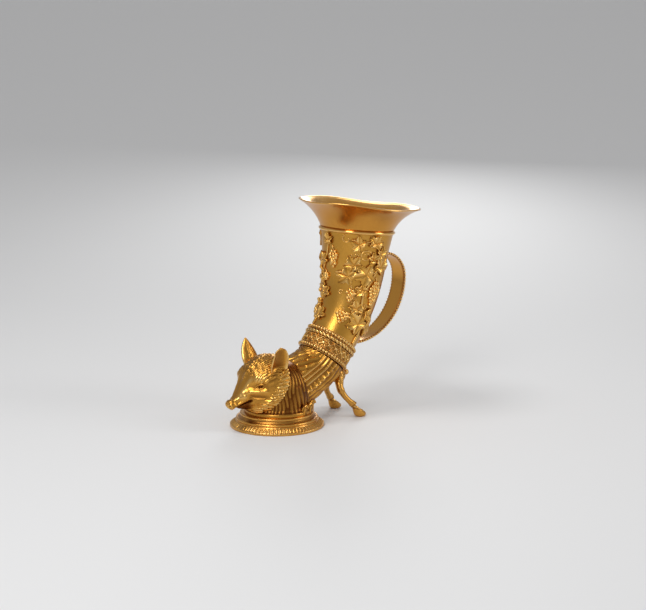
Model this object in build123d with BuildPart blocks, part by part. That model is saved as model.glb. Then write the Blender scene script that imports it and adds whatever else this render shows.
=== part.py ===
"""Rhyton: a curved drinking horn on a boar's head, with a round foot, a strap handle and two prop legs.

Frame: +Z up, origin at the centre of the foot's underside, snout towards -X, handle towards +X,
the animal's left side towards -Y. The XZ plane is the plane of symmetry. Sizes in millimetres.
"""
import os
from math import atan2, cos, degrees, radians, sin

from build123d import *

os.makedirs("parts", exist_ok=True)

# Fits
slip = 0.05            # gap round a ring, spigot, tenon or shank in its hole
screw_room = 0.2       # gap round a shank that passes through a wall
cast_wall = 2.6        # wall of the castings

# Foot
foot_radius = 47.0
foot_edge = 2.2        # height of the upright outer edge
band_width = 6.0       # sloping chased border, measured inwards
band_rise = 4.6
band_crown = 0.5       # swell of the border's middle
roll_radius = 1.4      # half round moulding above the border
groove_depth = 2.4     # hollow moulding above the roll
fillet_height = 2.3    # flat band under the chest
foot_ceiling = 3.4     # metal above the hollow
plate_radius = 42.0
plate_thickness = 3.0
plate_inset = 0.4      # the plate stays clear of the table by this much
plate_ledge = 2.0
hollow_slope = 7.0     # how far the hollow draws in towards its ceiling

# Tie screw
tie_diameter = 6.0
tie_head_diameter = 12.0
tie_grip = 12.0        # length of the shank inside the chest's boss
boss_wall = 3.0

# Chest
chest_offset = 2.0     # axis of the chest behind the axis of the foot
chest_flange_radius = 34.3
chest_flange = 2.5
chest_radius = 31.5
chest_middle = 34.0    # height where the chest is widest above its waist
waist_in = 0.6         # waist below the flange, inside the widest radius
web_thickness = 3.5    # floor of the chest
leaf_turns = (38.0, 56.0, 74.0)  # leaf tips at the foot of the chest, to either side of the back
leaf_tip_radius = 4.2
leaf_tip_rise = 4.0    # middle of a leaf tip above the flange

# Collar and its seat
collar_x = 61.9
collar_z = 71.5
collar_angle = 53.0    # lean of the collar's axis above the horizontal
seat_radius = 24.0     # bore of the collar rings
shoulder = 0.4         # step that the rings are held by, above and below
bead_row = 4.4         # height of each beaded ring
rope_row = 4.4
band_row = 10.8
bead_diameter = 3.4
bead_count = 50
ring_wall = 1.6
rope_diameter = 4.0
rope_strands = 36
rope_lay = 40.0        # lean of the strands
stud_count = 22
stud_size = 4.6
stud_rise = 0.7
spigot_length = 8.0
floor_thickness = 3.0

# Neck
neck_angle = 28.0      # lean of the neck where it leaves the chest
neck_bend_radius = 40.0
neck_straight = 36.0
neck_swell = 2.6       # growth of the neck's radius towards the chest
ridge_turns = (62.0, 72.0, 82.0)  # long ridges, from the top of the neck to either side
ridge_radius = 1.7
ridge_lift = 0.4       # middle of a ridge above the neck's surface
ridge_run = 30.0       # straight length of the ridges, which sink into the swelling neck

# Horn
mouth_angle = 84.5
horn_bend_radius = 134.0
horn_straight = 41.5
mouth_radius = 37.2
flare_share = 0.38     # share of the widening that comes late, near the mouth
horn_steps = 7

# Lip
lip_radius = 61.7
lip_height = 25.2
lip_start_angle = 66.0
lip_wall = 2.0
lip_spigot = 6.0
lip_fillet_radius = 1.9

# Head
head_x = 2.0           # start of the head's axis, inside the chest
head_z = 52.0
head_dip = 23.0        # the head points down by this angle
head_wall = 4.0
head_hollow = 42.0     # depth of the hollow along the axis
snout_length = 64.0
mouth_gap = 1.2        # half the opening of the mouth at its front
mouth_depth = 18.0
mouth_corner_height = -1.5   # corner and front of the mouth, from the head's axis
mouth_front_height = -4.2
crest_rise = 1.4       # bristle ridge on the midline
crest_width = 3.0
crest_root = 4.0       # depth of its root in the head
boss_rim = 1.0         # the head screw's seat is wider than its boss by this much
boss_cap = 2.0         # metal past the end of the head screw
head_screw_diameter = 5.0
head_screw_z = 36.0
head_screw_grip = 12.0

# Ears
ear_base = (-14.0, 24.0, 62.0)
ear_tip = (-16.5, 31.0, 85.8)
ear_width = 19.0
ear_thickness = 6.0
ear_front = (-0.05, 1.0, 0.0)   # way the right ear's hollow faces
ear_tenon = 5.0
ear_tenon_length = 4.5
# Swellings of the right half of the face as middle and radius: brow, eye, two tufts of the ruff
face_mounds = (
    ((-29.0, 15.5, 52.0), 7.5),
    ((-32.6, 18.6, 46.6), 3.4),
    ((-14.5, 22.0, 42.0), 7.5),
    ((-23.5, 16.5, 31.0), 7.0),
)

# Handle
handle_width = 18.8     # without the beads
handle_thickness = 2.6
handle_reach_x = 154.0   # rearmost point of the strap's middle line
handle_reach_z = 136.8
handle_top_radius = 26.0
handle_low_radius = 62.6
edge_bead = 3.0
edge_bead_pitch = 2.9
pad_length = 17.0
pad_width = 15.0
pad_thickness = 3.4
pad_screw_diameter = 3.5
pad_screw_head = 7.0
pad_screw_dome = 2.0
pad_grip = 2.4           # length of the screw inside the pad
upper_pad_at = 88.0      # place along the horn of the middle of each pad
lower_pad_at = 11.0
pad_screw_shift = 4.8    # screw above the strap

# Prop legs
saddle_radius = 8.0
saddle_width = 22.0
saddle_x = 72.8
saddle_z = 41.6
ball_diameter = 6.0
ball_reach = 13.0        # from the middle of the saddle to the ball
ball_rise = 5.0          # lean of its shank above the horizontal
ball_shank = 3.0
ball_grip = 2.0          # length of the shank past the neck's wall
ball_collar = 1.0        # the collar under the ball is wider than its shank by this much
leg_tenon = 3.6
hoof_length = 13.5
hoof_width = 9.5
hoof_cleft = 1.0
fetlock_diameter = 7.4

# Vine
vine_relief = 1.9
stem_width = 2.4
lobe_pitch = 62.0        # turn from one lobe of a leaf to the next
lobe_notch = 0.52        # reach of the notches, as a share of the leaf's size
lobe_tips = (0.6, 0.85, 1.0, 0.85, 0.6)
grape_diameter = 4.0
grape_pitch = 3.4
grape_lift = 0.7         # how far a grape's middle stands above the horn
vine_reach = 7.0         # the vine's prisms reach this far to either side of their plane

# Leaves as place along the horn, angle round it from the front, size, turn of the tip
left_leaf_places = (
    (19.0, 92.0, 10.5, 150.0),
    (20.0, 124.0, 8.0, 40.0),
    (33.0, 74.0, 7.0, 115.0),
    (67.0, 43.0, 10.0, 165.0),
    (80.0, 52.0, 8.0, 125.0),
    (71.0, 77.0, 10.5, 200.0),
    (79.0, 106.0, 9.0, 60.0),
    (92.0, 101.0, 6.5, 20.0),
    (101.0, 59.0, 7.5, 160.0),
    (103.0, 86.0, 7.5, 75.0),
)
front_leaf_places = (
    (14.0, -8.0, 7.5, 60.0),
    (27.0, -26.0, 6.5, 130.0),
    (43.0, -8.0, 7.0, 50.0),
    (53.0, -22.0, 7.0, 120.0),
    (82.0, -12.0, 6.5, 120.0),
    (103.0, 2.0, 5.5, 90.0),
)
# Stems as points: place along the horn, angle round it
left_stem_points = (
    (2.0, 108.0),
    (18.0, 104.0),
    (33.0, 86.0),
    (47.0, 80.0),
    (60.0, 86.0),
    (72.0, 96.0),
    (84.0, 103.0),
    (95.0, 96.0),
    (104.0, 84.0),
)
front_stem_points = (
    (1.0, -20.0),
    (16.0, -15.0),
    (32.0, -20.0),
    (48.0, -17.0),
    (64.0, -20.0),
    (80.0, -10.0),
    (90.0, -2.0),
    (99.0, 1.0),
)
# Bunches as place of the stalk, angle round the horn, grapes in each row
left_bunches = (
    (61.0, 106.0, (2, 3, 3, 3, 2, 2, 1)),
    (51.5, 54.0, (2, 3, 2, 1)),
    (23.0, 51.0, (3, 3, 2, 1)),
)
front_bunches = (
    (92.6, 14.6, (2, 3, 3, 2, 2, 1)),
    (66.6, -5.4, (2, 2, 1)),
)


def slope(angle):
    """Unit vector in the XZ plane at an angle above the horizontal."""
    return Vector(cos(radians(angle)), 0, sin(radians(angle)))


def bend(start, start_angle, end_angle, radius):
    """Point reached along an arc that turns the direction from start_angle to end_angle."""
    return start + (slope(end_angle - 90) - slope(start_angle - 90)) * radius


def across(point, angle):
    """Plane square to a centre line that runs at an angle above the horizontal."""
    return Plane(origin=point, x_dir=(0, 1, 0), z_dir=slope(angle))


# Foot levels that follow from the driving sizes
foot_roll_z = foot_edge + band_rise
groove_z = foot_roll_z + 2 * roll_radius
fillet_z = groove_z + groove_depth
foot_top = fillet_z + fillet_height
band_inner = foot_radius - band_width
groove_radius = band_inner - roll_radius - groove_depth
plate_top = plate_inset + plate_thickness

# Collar, neck and horn centre lines
collar_length = 2 * bead_row + rope_row + band_row
collar_middle = Vector(collar_x, 0, collar_z)
collar_top = collar_middle + slope(collar_angle) * (collar_length / 2)
collar_bottom = collar_middle - slope(collar_angle) * (collar_length / 2)
body_radius = seat_radius + shoulder
neck_bend_end = bend(collar_bottom, collar_angle, neck_angle, neck_bend_radius)
neck_bend_centre = collar_bottom + slope(collar_angle + 90) * neck_bend_radius
horn_arc = radians(mouth_angle - collar_angle) * horn_bend_radius
horn_length = horn_arc + horn_straight
horn_bend_end = bend(collar_top, collar_angle, mouth_angle, horn_bend_radius)
mouth_base = horn_bend_end + slope(mouth_angle) * horn_straight

# Saddle of the legs and the axis of its ball screw
saddle_middle = Vector(saddle_x, 0, saddle_z)
ball_direction = slope(ball_rise)
ball_plane = Plane(origin=saddle_middle, z_dir=ball_direction)


def horn_angle(place):
    """Lean of the horn's centre line at a distance above the collar."""
    return min(collar_angle + degrees(place / horn_bend_radius), mouth_angle)


def horn_centre(place):
    """Point of the horn's centre line at a distance above the collar."""
    if place < horn_arc:
        return bend(collar_top, collar_angle, horn_angle(place), horn_bend_radius)
    return horn_bend_end + slope(mouth_angle) * (place - horn_arc)


def horn_radius(place):
    """Outside radius of the horn, which widens faster towards the mouth."""
    share = place / horn_length
    return body_radius + (mouth_radius - body_radius) * share * (1 - flare_share + flare_share * share)


def horn_normal(place, turn):
    """Outward direction on the horn: turn 0 faces -X, 90 faces -Y, 180 faces the handle."""
    front = slope(horn_angle(place) + 90)
    return front * cos(radians(turn)) - Vector(0, 1, 0) * sin(radians(turn))


def horn_point(place, turn, lift=0.0):
    """Point on the horn's outside, or above it by lift."""
    return horn_centre(place) + horn_normal(place, turn) * (horn_radius(place) + lift)


def horn_tangent(place, turn):
    """Plane lying on the horn, with its y axis along the horn and its z axis outwards."""
    outward = horn_normal(place, turn)
    return Plane(
        origin=horn_point(place, turn),
        x_dir=slope(horn_angle(place)).cross(outward),
        z_dir=outward,
    )


def horn_body(extra):
    """Solid horn with extra added to its radius."""
    with BuildPart() as body:
        for step in range(horn_steps + 1):
            place = horn_length * step / horn_steps
            with BuildSketch(across(horn_centre(place), horn_angle(place))):
                Circle(horn_radius(place) + extra)
        loft()
    return body.part


def neck_body(extra):
    """Solid neck with extra added to its radius: a bend at the collar, then a cone into the chest."""
    with BuildPart() as body:
        with BuildSketch(across(collar_bottom, collar_angle)):
            Circle(body_radius + extra)
        revolve(axis=Axis(neck_bend_centre, (0, 1, 0)), revolution_arc=collar_angle - neck_angle)
        with BuildSketch(Plane(origin=neck_bend_end, x_dir=slope(neck_angle - 90), z_dir=(0, -1, 0))):
            Polygon(
                (0, 0),
                (body_radius + extra, 0),
                (body_radius + neck_swell + extra, -neck_straight),
                (0, -neck_straight),
                align=None,
            )
        revolve(axis=Axis(neck_bend_end, slope(neck_angle)))
        split(bisect_by=Plane.XY.offset(foot_top + (web_thickness if extra else 0)), keep=Keep.TOP)
    return body.part


def chest_body(shrink):
    """Solid chest, drawn in on all sides by shrink, with its floor raised by the web when hollow."""
    base = foot_top + (web_thickness if shrink else 0)
    with BuildPart() as body:
        with BuildSketch(Plane.XZ):
            with BuildLine():
                flange = Line((0, base), (chest_flange_radius - shrink, base))
                rim = Line(flange @ 1, (chest_flange_radius - shrink, base + chest_flange))
                waist = ThreePointArc(
                    rim @ 1,
                    (chest_radius - waist_in - shrink, (rim @ 1).Y + 0.35 * (chest_middle - (rim @ 1).Y)),
                    (chest_radius - shrink, chest_middle),
                )
                CenterArc((0, chest_middle), chest_radius - shrink, start_angle=0, arc_size=90)
                Line((0, chest_middle + chest_radius - shrink), (0, base))
            make_face()
        revolve(axis=Axis.Z)
    return body.part.moved(Location((chest_offset, 0, 0)))


horn_outside = horn_body(0)
horn_inside = horn_body(-cast_wall)
horn_vine_skin = horn_body(vine_relief)
horn_pad_skin = horn_body(pad_thickness)
neck_outside = neck_body(0)
neck_inside = neck_body(-cast_wall)
chest_outside = chest_body(0)
chest_inside = chest_body(cast_wall)

# Foot: moulded ring, hollow below
with BuildPart() as foot_ring:
    with BuildSketch(Plane.XZ):
        with BuildLine():
            under = Line((0, 0), (foot_radius, 0))
            edge = Line(under @ 1, (foot_radius, foot_edge))
            border = ThreePointArc(
                edge @ 1,
                (foot_radius - band_width / 2 + band_crown, foot_edge + band_rise / 2 + band_crown),
                (band_inner, foot_roll_z),
            )
            roll = ThreePointArc(
                border @ 1,
                (band_inner + roll_radius * 0.3, foot_roll_z + roll_radius),
                (band_inner - roll_radius, groove_z),
            )
            groove = RadiusArc(roll @ 1, (groove_radius, fillet_z), groove_depth * 1.2)
            step = Line(groove @ 1, (groove_radius + groove_depth / 4, fillet_z))
            fillet_band = Line(step @ 1, (groove_radius + groove_depth / 4, foot_top))
            top = Line(fillet_band @ 1, (0, foot_top))
            Line(top @ 1, under @ 0)
        make_face()
    revolve(axis=Axis.Z)
    with BuildSketch(Plane.XZ):
        Polygon(
            (0, 0),
            (plate_radius, 0),
            (plate_radius, plate_top),
            (plate_radius - plate_ledge, plate_top),
            (plate_radius - plate_ledge - hollow_slope, foot_top - foot_ceiling),
            (0, foot_top - foot_ceiling),
            align=None,
        )
    revolve(axis=Axis.Z, mode=Mode.SUBTRACT)
    with Locations((0, 0, foot_top)):
        Hole(tie_diameter / 2 + screw_room)
foot_ring.part.label = "foot_ring"
export_step(foot_ring.part, "parts/foot_ring.step")

# Foot plate: disc that closes the hollow, countersunk for the tie screw
tie_cone = (tie_head_diameter - tie_diameter) / 2
with BuildPart() as foot_plate:
    with BuildSketch(Plane.XY.offset(plate_inset)):
        Circle(plate_radius - slip)
    extrude(amount=plate_thickness)
    with BuildSketch(Plane.XZ):
        Polygon(
            (0, plate_inset),
            (tie_head_diameter / 2 + slip, plate_inset),
            (tie_diameter / 2 + slip, plate_inset + tie_cone),
            (tie_diameter / 2 + slip, plate_top),
            (0, plate_top),
            align=None,
        )
    revolve(axis=Axis.Z, mode=Mode.SUBTRACT)
foot_plate.part.label = "foot_plate"
export_step(foot_plate.part, "parts/foot_plate.step")

# Tie screw: from the plate up into the chest's boss
tie_top = foot_top + tie_grip
with BuildPart() as tie_screw:
    with BuildSketch(Plane.XZ):
        Polygon(
            (0, plate_inset),
            (tie_head_diameter / 2, plate_inset),
            (tie_diameter / 2, plate_inset + tie_cone),
            (tie_diameter / 2, tie_top),
            (0, tie_top),
            align=None,
        )
    revolve(axis=Axis.Z)
tie_screw.part.label = "tie_screw"
export_step(tie_screw.part, "parts/tie_screw.step")

# Relief of the neck: long ridges that run from the collar into the chest, and leaf tips at the chest's foot
ridge_places = []
for turn in ridge_turns:
    for side in (-1, 1):
        ridge_places.append((
            side * (body_radius + ridge_lift) * sin(radians(turn)),
            (body_radius + ridge_lift) * cos(radians(turn)),
        ))
with BuildPart() as neck_relief:
    with BuildSketch(across(collar_bottom, collar_angle)):
        with Locations(*ridge_places):
            Circle(ridge_radius)
    revolve(axis=Axis(neck_bend_centre, (0, 1, 0)), revolution_arc=collar_angle - neck_angle)
    with BuildSketch(across(neck_bend_end, neck_angle)):
        with Locations(*ridge_places):
            Circle(ridge_radius)
    extrude(amount=-ridge_run)
    for turn in leaf_turns:
        for side in (-1, 1):
            radial = Vector(cos(radians(turn)), side * sin(radians(turn)), 0)
            with Locations(Vector(chest_offset, 0, foot_top + chest_flange + leaf_tip_rise) + radial * chest_radius):
                Sphere(leaf_tip_radius)

# Neck: chest and neck in one casting, with the lower half of the collar's seat and a spigot
head_axis = slope(180 + head_dip)
chest_front = chest_offset - chest_radius
pad_depth = cast_wall + boss_wall
with BuildPart() as neck:
    add(chest_outside)
    add(neck_outside)
    add(neck_relief.part)
    with BuildSketch(across(collar_bottom, collar_angle)):
        Circle(seat_radius)
    extrude(amount=collar_length / 2)
    with BuildSketch(across(collar_middle, collar_angle)):
        Circle(seat_radius - cast_wall - slip)
    extrude(amount=spigot_length)
    add(chest_inside, mode=Mode.SUBTRACT)
    add(neck_inside, mode=Mode.SUBTRACT)
    with BuildSketch(across(collar_bottom, collar_angle)):
        Circle(seat_radius - 2 * cast_wall)
    extrude(amount=collar_length / 2 + spigot_length, mode=Mode.SUBTRACT)
    with BuildSketch(Plane.XY.offset(foot_top)):
        Circle(tie_diameter / 2 + boss_wall)
    extrude(amount=tie_grip + boss_wall)
    with BuildSketch(Plane.YZ.offset(chest_front + pad_depth)):
        with Locations((0, head_screw_z)):
            Circle(head_screw_diameter / 2 + boss_wall + boss_rim)
    extrude(amount=-boss_wall - cast_wall / 2)
    with BuildSketch(Plane.XY.offset(foot_top)):
        Circle(tie_diameter / 2 + slip)
    extrude(amount=tie_grip + slip, mode=Mode.SUBTRACT)
    with BuildSketch(Plane.YZ.offset(chest_front + pad_depth)):
        with Locations((0, head_screw_z)):
            Circle(head_screw_diameter / 2 + screw_room)
    extrude(amount=-2 * pad_depth, mode=Mode.SUBTRACT)
    with BuildSketch(ball_plane):
        Circle(ball_shank / 2 + slip)
    extrude(amount=-(saddle_radius + ball_grip + cast_wall), mode=Mode.SUBTRACT)
neck.part.label = "neck"
export_step(neck.part, "parts/neck.step")

# Head: lofted along an axis that dips towards the snout
# Sections as distance along the axis, height above it, depth below it, half width
head_sections = (
    (0.0, 23.0, 30.0, 26.0),
    (10.0, 26.0, 30.0, 28.5),
    (20.0, 26.0, 28.5, 28.6),
    (30.0, 22.6, 25.5, 26.0),
    (40.0, 16.0, 20.0, 17.0),
    (50.0, 9.8, 13.4, 10.2),
    (58.0, 6.8, 8.2, 7.2),
    (snout_length, 5.0, 5.0, 6.0),
)


def head_plane(distance, height):
    """Plane across the head, with its x axis to the animal's left and its y axis up along the section."""
    origin = Vector(head_x, 0, head_z) + head_axis * distance + slope(90 + head_dip) * height
    return Plane(origin=origin, x_dir=(0, -1, 0), z_dir=head_axis)


def head_body(shrink, reach):
    """Solid head up to a distance along its axis, drawn in on all sides by shrink."""
    with BuildPart() as body:
        for distance, above, below, half in head_sections:
            if distance <= reach:
                with BuildSketch(head_plane(distance, (above - below) / 2)):
                    Ellipse(half - shrink, (above + below) / 2 - shrink)
        loft()
    return body.part


def head_outline(distance, height):
    """Place in the XZ plane at a distance along the head's axis and a height above it."""
    origin = head_plane(distance, height).origin
    return (origin.X, origin.Z)


crest_sections = [section for section in head_sections if 0 < section[0] <= head_hollow]
crest_top = [head_outline(distance, above + crest_rise) for distance, above, below, half in crest_sections]
crest_low = [head_outline(distance, above - crest_root) for distance, above, below, half in crest_sections]

# Outside of the head with its swellings, bristle ridge and open mouth
with BuildPart() as head_form:
    add(head_body(0, snout_length))
    for (mound_x, mound_y, mound_z), mound_radius in face_mounds:
        with Locations((mound_x, mound_y, mound_z), (mound_x, -mound_y, mound_z)):
            Sphere(mound_radius)
    with BuildSketch(Plane.XZ):
        Polygon(*crest_top, *reversed(crest_low), align=None)
    extrude(amount=crest_width / 2, both=True)
    with BuildSketch(Plane.XZ):
        Polygon(
            head_outline(snout_length - mouth_depth, mouth_corner_height),
            head_outline(snout_length + mouth_gap, mouth_front_height - mouth_gap),
            head_outline(snout_length + mouth_gap, mouth_front_height + mouth_gap),
            align=None,
        )
    extrude(amount=snout_length, both=True, mode=Mode.SUBTRACT)
head_outside = head_form.part
head_inside = head_body(head_wall, head_hollow)

ear_base_point = Vector(*ear_base)
ear_axis = (Vector(*ear_tip) - ear_base_point).normalized()
ear_length = (Vector(*ear_tip) - ear_base_point).length
ear_facing = (Vector(*ear_front) - ear_axis * ear_axis.dot(Vector(*ear_front))).normalized()


def ear_plane(distance, forward):
    """Plane across an ear, with its y axis towards the ear's open side."""
    origin = ear_base_point + ear_axis * distance + ear_facing * forward
    return Plane(origin=origin, x_dir=ear_facing.cross(ear_axis), z_dir=ear_axis)


# Hole in the head for the right ear's tenon
with BuildPart() as right_socket:
    with BuildSketch(ear_plane(-ear_tenon_length - slip, 0)):
        Circle(ear_tenon / 2 + slip)
    extrude(amount=2 * ear_tenon_length)

with BuildPart() as head:
    add(head_outside)
    add(head_inside, mode=Mode.SUBTRACT)
    with BuildSketch(Plane.YZ.offset(chest_front + cast_wall)):
        with Locations((0, head_screw_z)):
            Circle(head_screw_diameter / 2 + boss_wall)
    extrude(amount=-(head_screw_grip + boss_wall + cast_wall + boss_cap))
    add(chest_outside, mode=Mode.SUBTRACT)
    add(neck_outside, mode=Mode.SUBTRACT)
    add(neck_relief.part, mode=Mode.SUBTRACT)
    with BuildSketch(Plane.XY.offset(foot_top)):
        Circle(2 * foot_radius)
    extrude(amount=-foot_top, mode=Mode.SUBTRACT)
    with BuildSketch(Plane.YZ.offset(chest_front + cast_wall)):
        with Locations((0, head_screw_z)):
            Circle(head_screw_diameter / 2 + slip)
    extrude(amount=-(head_screw_grip + cast_wall), mode=Mode.SUBTRACT)
    add(right_socket.part, mode=Mode.SUBTRACT)
    add(right_socket.part.mirror(Plane.XZ), mode=Mode.SUBTRACT)
head.part.label = "head"
export_step(head.part, "parts/head.step")

# Head screw: from inside the chest into the head's boss
with BuildPart() as head_screw:
    with BuildSketch(Plane.YZ.offset(chest_front + pad_depth)):
        with Locations((0, head_screw_z)):
            Circle(head_screw_diameter / 2)
    extrude(amount=-(pad_depth + head_screw_grip - slip))
    with BuildSketch(Plane.YZ.offset(chest_front + pad_depth)):
        with Locations((0, head_screw_z)):
            Circle(head_screw_diameter / 2 + boss_wall / 2)
    extrude(amount=head_screw_diameter * 0.6)
head_screw.part.label = "head_screw"
export_step(head_screw.part, "parts/head_screw.step")

# Ears: pointed and cupped on their outer side, each with a tenon into the head
with BuildPart() as right_ear:
    for share, width, depth in ((-0.25, 0.86, 1.0), (0.15, 1.0, 1.0), (0.5, 0.80, 0.72), (0.8, 0.40, 0.42), (1.0, 0.06, 0.16)):
        with BuildSketch(ear_plane(ear_length * share, 0)):
            Ellipse(ear_width / 2 * width, ear_thickness / 2 * depth)
    loft()
    for share, width, depth in ((0.12, 0.30, 0.5), (0.35, 0.62, 0.75), (0.6, 0.48, 0.62), (0.86, 0.16, 0.3)):
        with BuildSketch(ear_plane(ear_length * share, ear_thickness * 0.45)):
            Ellipse(ear_width / 2 * width, ear_thickness / 2 * depth)
    loft(mode=Mode.SUBTRACT)
    add(head_outside, mode=Mode.SUBTRACT)
    with BuildSketch(ear_plane(-ear_tenon_length, 0)):
        Circle(ear_tenon / 2)
    extrude(amount=ear_tenon_length + ear_length * 0.1)
right_ear.part.label = "right_ear"
export_step(right_ear.part, "parts/right_ear.step")

with BuildPart() as left_ear:
    add(right_ear.part.mirror(Plane.XZ))
left_ear.part.label = "left_ear"
export_step(left_ear.part, "parts/left_ear.step")

# Collar: four rings threaded on the seat, from the bottom up
ring_bore = seat_radius + slip
ring_radius = ring_bore + ring_wall
lower_plane = across(collar_bottom, collar_angle)
band_plane = lower_plane.offset(bead_row)
rope_plane = band_plane.offset(band_row)
upper_plane = rope_plane.offset(rope_row)

with BuildPart(lower_plane) as collar_lower_beads:
    with BuildSketch(lower_plane):
        Circle(ring_radius)
        Circle(ring_bore, mode=Mode.SUBTRACT)
    extrude(amount=bead_row)
    with Locations((0, 0, bead_row / 2)):
        with PolarLocations(ring_radius, bead_count):
            Sphere(bead_diameter / 2)
    with BuildSketch(lower_plane):
        Circle(ring_bore)
    extrude(amount=bead_row, mode=Mode.SUBTRACT)
collar_lower_beads.part.label = "collar_lower_beads"
export_step(collar_lower_beads.part, "parts/collar_lower_beads.step")

with BuildPart(band_plane) as collar_band:
    with BuildSketch(band_plane):
        Circle(ring_radius)
        Circle(ring_bore, mode=Mode.SUBTRACT)
    extrude(amount=band_row)
    with Locations((0, 0, band_row / 2)):
        with PolarLocations(ring_radius, stud_count):
            Box(2 * stud_rise, stud_size, stud_size, rotation=(45, 0, 0))
collar_band.part.label = "collar_band"
export_step(collar_band.part, "parts/collar_band.step")

with BuildPart(rope_plane) as collar_rope:
    with BuildSketch(rope_plane):
        Circle(ring_radius)
        Circle(ring_bore, mode=Mode.SUBTRACT)
    extrude(amount=rope_row)
    with Locations((0, 0, rope_row / 2)):
        with PolarLocations(ring_radius, rope_strands):
            Cylinder(rope_diameter / 4, rope_row * 0.9, rotation=(rope_lay, 0, 0))
collar_rope.part.label = "collar_rope"
export_step(collar_rope.part, "parts/collar_rope.step")

with BuildPart() as collar_upper_beads:
    add(collar_lower_beads.part.moved(Location(slope(collar_angle) * (collar_length - bead_row))))
collar_upper_beads.part.label = "collar_upper_beads"
export_step(collar_upper_beads.part, "parts/collar_upper_beads.step")

# Handle pads and screws: each pad lies on the horn's back, its screw comes from inside the cup
upper_screw_at = upper_pad_at + pad_screw_shift
lower_screw_at = lower_pad_at + pad_screw_shift


def pad_screw_plane(place):
    """Plane on the inner face of the horn's back, with its z axis outwards."""
    outward = horn_normal(place, 180)
    return Plane(origin=horn_point(place, 180, -cast_wall), x_dir=(0, 1, 0), z_dir=outward)


# Horn: hollow, with the upper half of the collar's seat
with BuildPart() as horn_cup:
    add(horn_outside)
    with BuildSketch(across(collar_middle, collar_angle)):
        Circle(seat_radius)
    extrude(amount=collar_length / 2)
    add(horn_inside, mode=Mode.SUBTRACT)
    with BuildSketch(across(collar_middle, collar_angle)):
        Circle(seat_radius - cast_wall)
    extrude(amount=collar_length / 2, mode=Mode.SUBTRACT)
    with BuildSketch(across(mouth_base, mouth_angle)):
        Circle(mouth_radius - cast_wall)
    extrude(amount=-lip_spigot, mode=Mode.SUBTRACT)
    for place in (upper_screw_at, lower_screw_at):
        with BuildSketch(pad_screw_plane(place)):
            Circle(pad_screw_diameter / 2 + screw_room)
        extrude(amount=2 * cast_wall, mode=Mode.SUBTRACT)
        with BuildSketch(pad_screw_plane(place)):
            Circle(pad_screw_head / 2 + slip)
        extrude(amount=-pad_screw_dome, mode=Mode.SUBTRACT)
horn_cup.part.label = "horn_cup"
export_step(horn_cup.part, "parts/horn_cup.step")

# Floor of the cup: rests on the neck's spigot
with BuildPart() as cup_floor:
    with BuildSketch(across(collar_middle, collar_angle).offset(spigot_length)):
        Circle(seat_radius - cast_wall - slip)
    extrude(amount=floor_thickness)
cup_floor.part.label = "cup_floor"
export_step(cup_floor.part, "parts/cup_floor.step")

# Lip: flares out from the horn's mouth, with a spigot inside it
mouth_plane = Plane(origin=mouth_base, x_dir=slope(mouth_angle - 90), z_dir=(0, -1, 0))
mouth_axis = Axis(mouth_base, slope(mouth_angle))
spigot_radius = mouth_radius - cast_wall - slip
with BuildPart() as flared_lip:
    with BuildSketch(mouth_plane):
        with BuildLine():
            flare = TangentArc(
                (mouth_radius, 0),
                (lip_radius, lip_height - lip_wall / 2),
                tangent=(cos(radians(lip_start_angle)), sin(radians(lip_start_angle))),
            )
            rim = Line(flare @ 1, (lip_radius - lip_wall / 2, lip_height))
            inner = TangentArc(
                (spigot_radius - lip_wall, 0),
                (lip_radius - 2 * lip_wall, lip_height - lip_wall / 2),
                tangent=(cos(radians(lip_start_angle)), sin(radians(lip_start_angle))),
            )
            Line(rim @ 1, inner @ 1)
            bore = Line(inner @ 0, (spigot_radius - lip_wall, -lip_spigot))
            end = Line(bore @ 1, (spigot_radius, -lip_spigot))
            spigot = Line(end @ 1, (spigot_radius, 0))
            Line(spigot @ 1, flare @ 0)
        make_face()
    revolve(axis=mouth_axis)
flared_lip.part.label = "flared_lip"
export_step(flared_lip.part, "parts/flared_lip.step")

# Fillet: half round ring on the horn, right under the lip
with BuildPart() as lip_fillet:
    with BuildSketch(mouth_plane):
        with Locations((mouth_radius, -lip_fillet_radius)):
            Circle(lip_fillet_radius)
    revolve(axis=mouth_axis)
    add(horn_outside, mode=Mode.SUBTRACT)
lip_fillet.part.label = "lip_fillet"
export_step(lip_fillet.part, "parts/lip_fillet.step")

# Handle: strap along two arcs that meet at its rearmost point, with a pad at each end
handle_top_z = handle_reach_z + handle_top_radius
handle_low_z = handle_reach_z - handle_low_radius
top_arc_x = handle_reach_x - handle_top_radius
low_arc_x = handle_reach_x - handle_low_radius

with BuildPart() as handle_pads:
    for place in (upper_pad_at, lower_pad_at):
        with BuildSketch(horn_tangent(place, 180)):
            Ellipse(pad_width / 2, pad_length / 2)
        extrude(amount=2 * pad_thickness, both=True)
    add(horn_pad_skin, mode=Mode.INTERSECT)

with BuildPart() as handle_strap:
    with BuildSketch(Plane.XZ):
        with BuildLine():
            Line((top_arc_x - mouth_radius, handle_top_z), (top_arc_x, handle_top_z))
            CenterArc((top_arc_x, handle_reach_z), handle_top_radius, 90, -90)
            CenterArc((low_arc_x, handle_reach_z), handle_low_radius, 0, -90)
            Line((low_arc_x, handle_low_z), (low_arc_x - seat_radius / 2, handle_low_z))
        trace(line_width=handle_thickness)
    extrude(amount=handle_width / 2, both=True)
    add(handle_pads.part)
    add(horn_outside, mode=Mode.SUBTRACT)
    with BuildSketch(lower_plane):
        Circle(2 * seat_radius)
    extrude(amount=collar_length, mode=Mode.SUBTRACT)
    for place in (upper_screw_at, lower_screw_at):
        with BuildSketch(pad_screw_plane(place)):
            Circle(pad_screw_diameter / 2 + slip)
        extrude(amount=cast_wall + pad_grip + slip, mode=Mode.SUBTRACT)
handle_strap.part.label = "handle_strap"
export_step(handle_strap.part, "parts/handle_strap.step")

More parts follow.
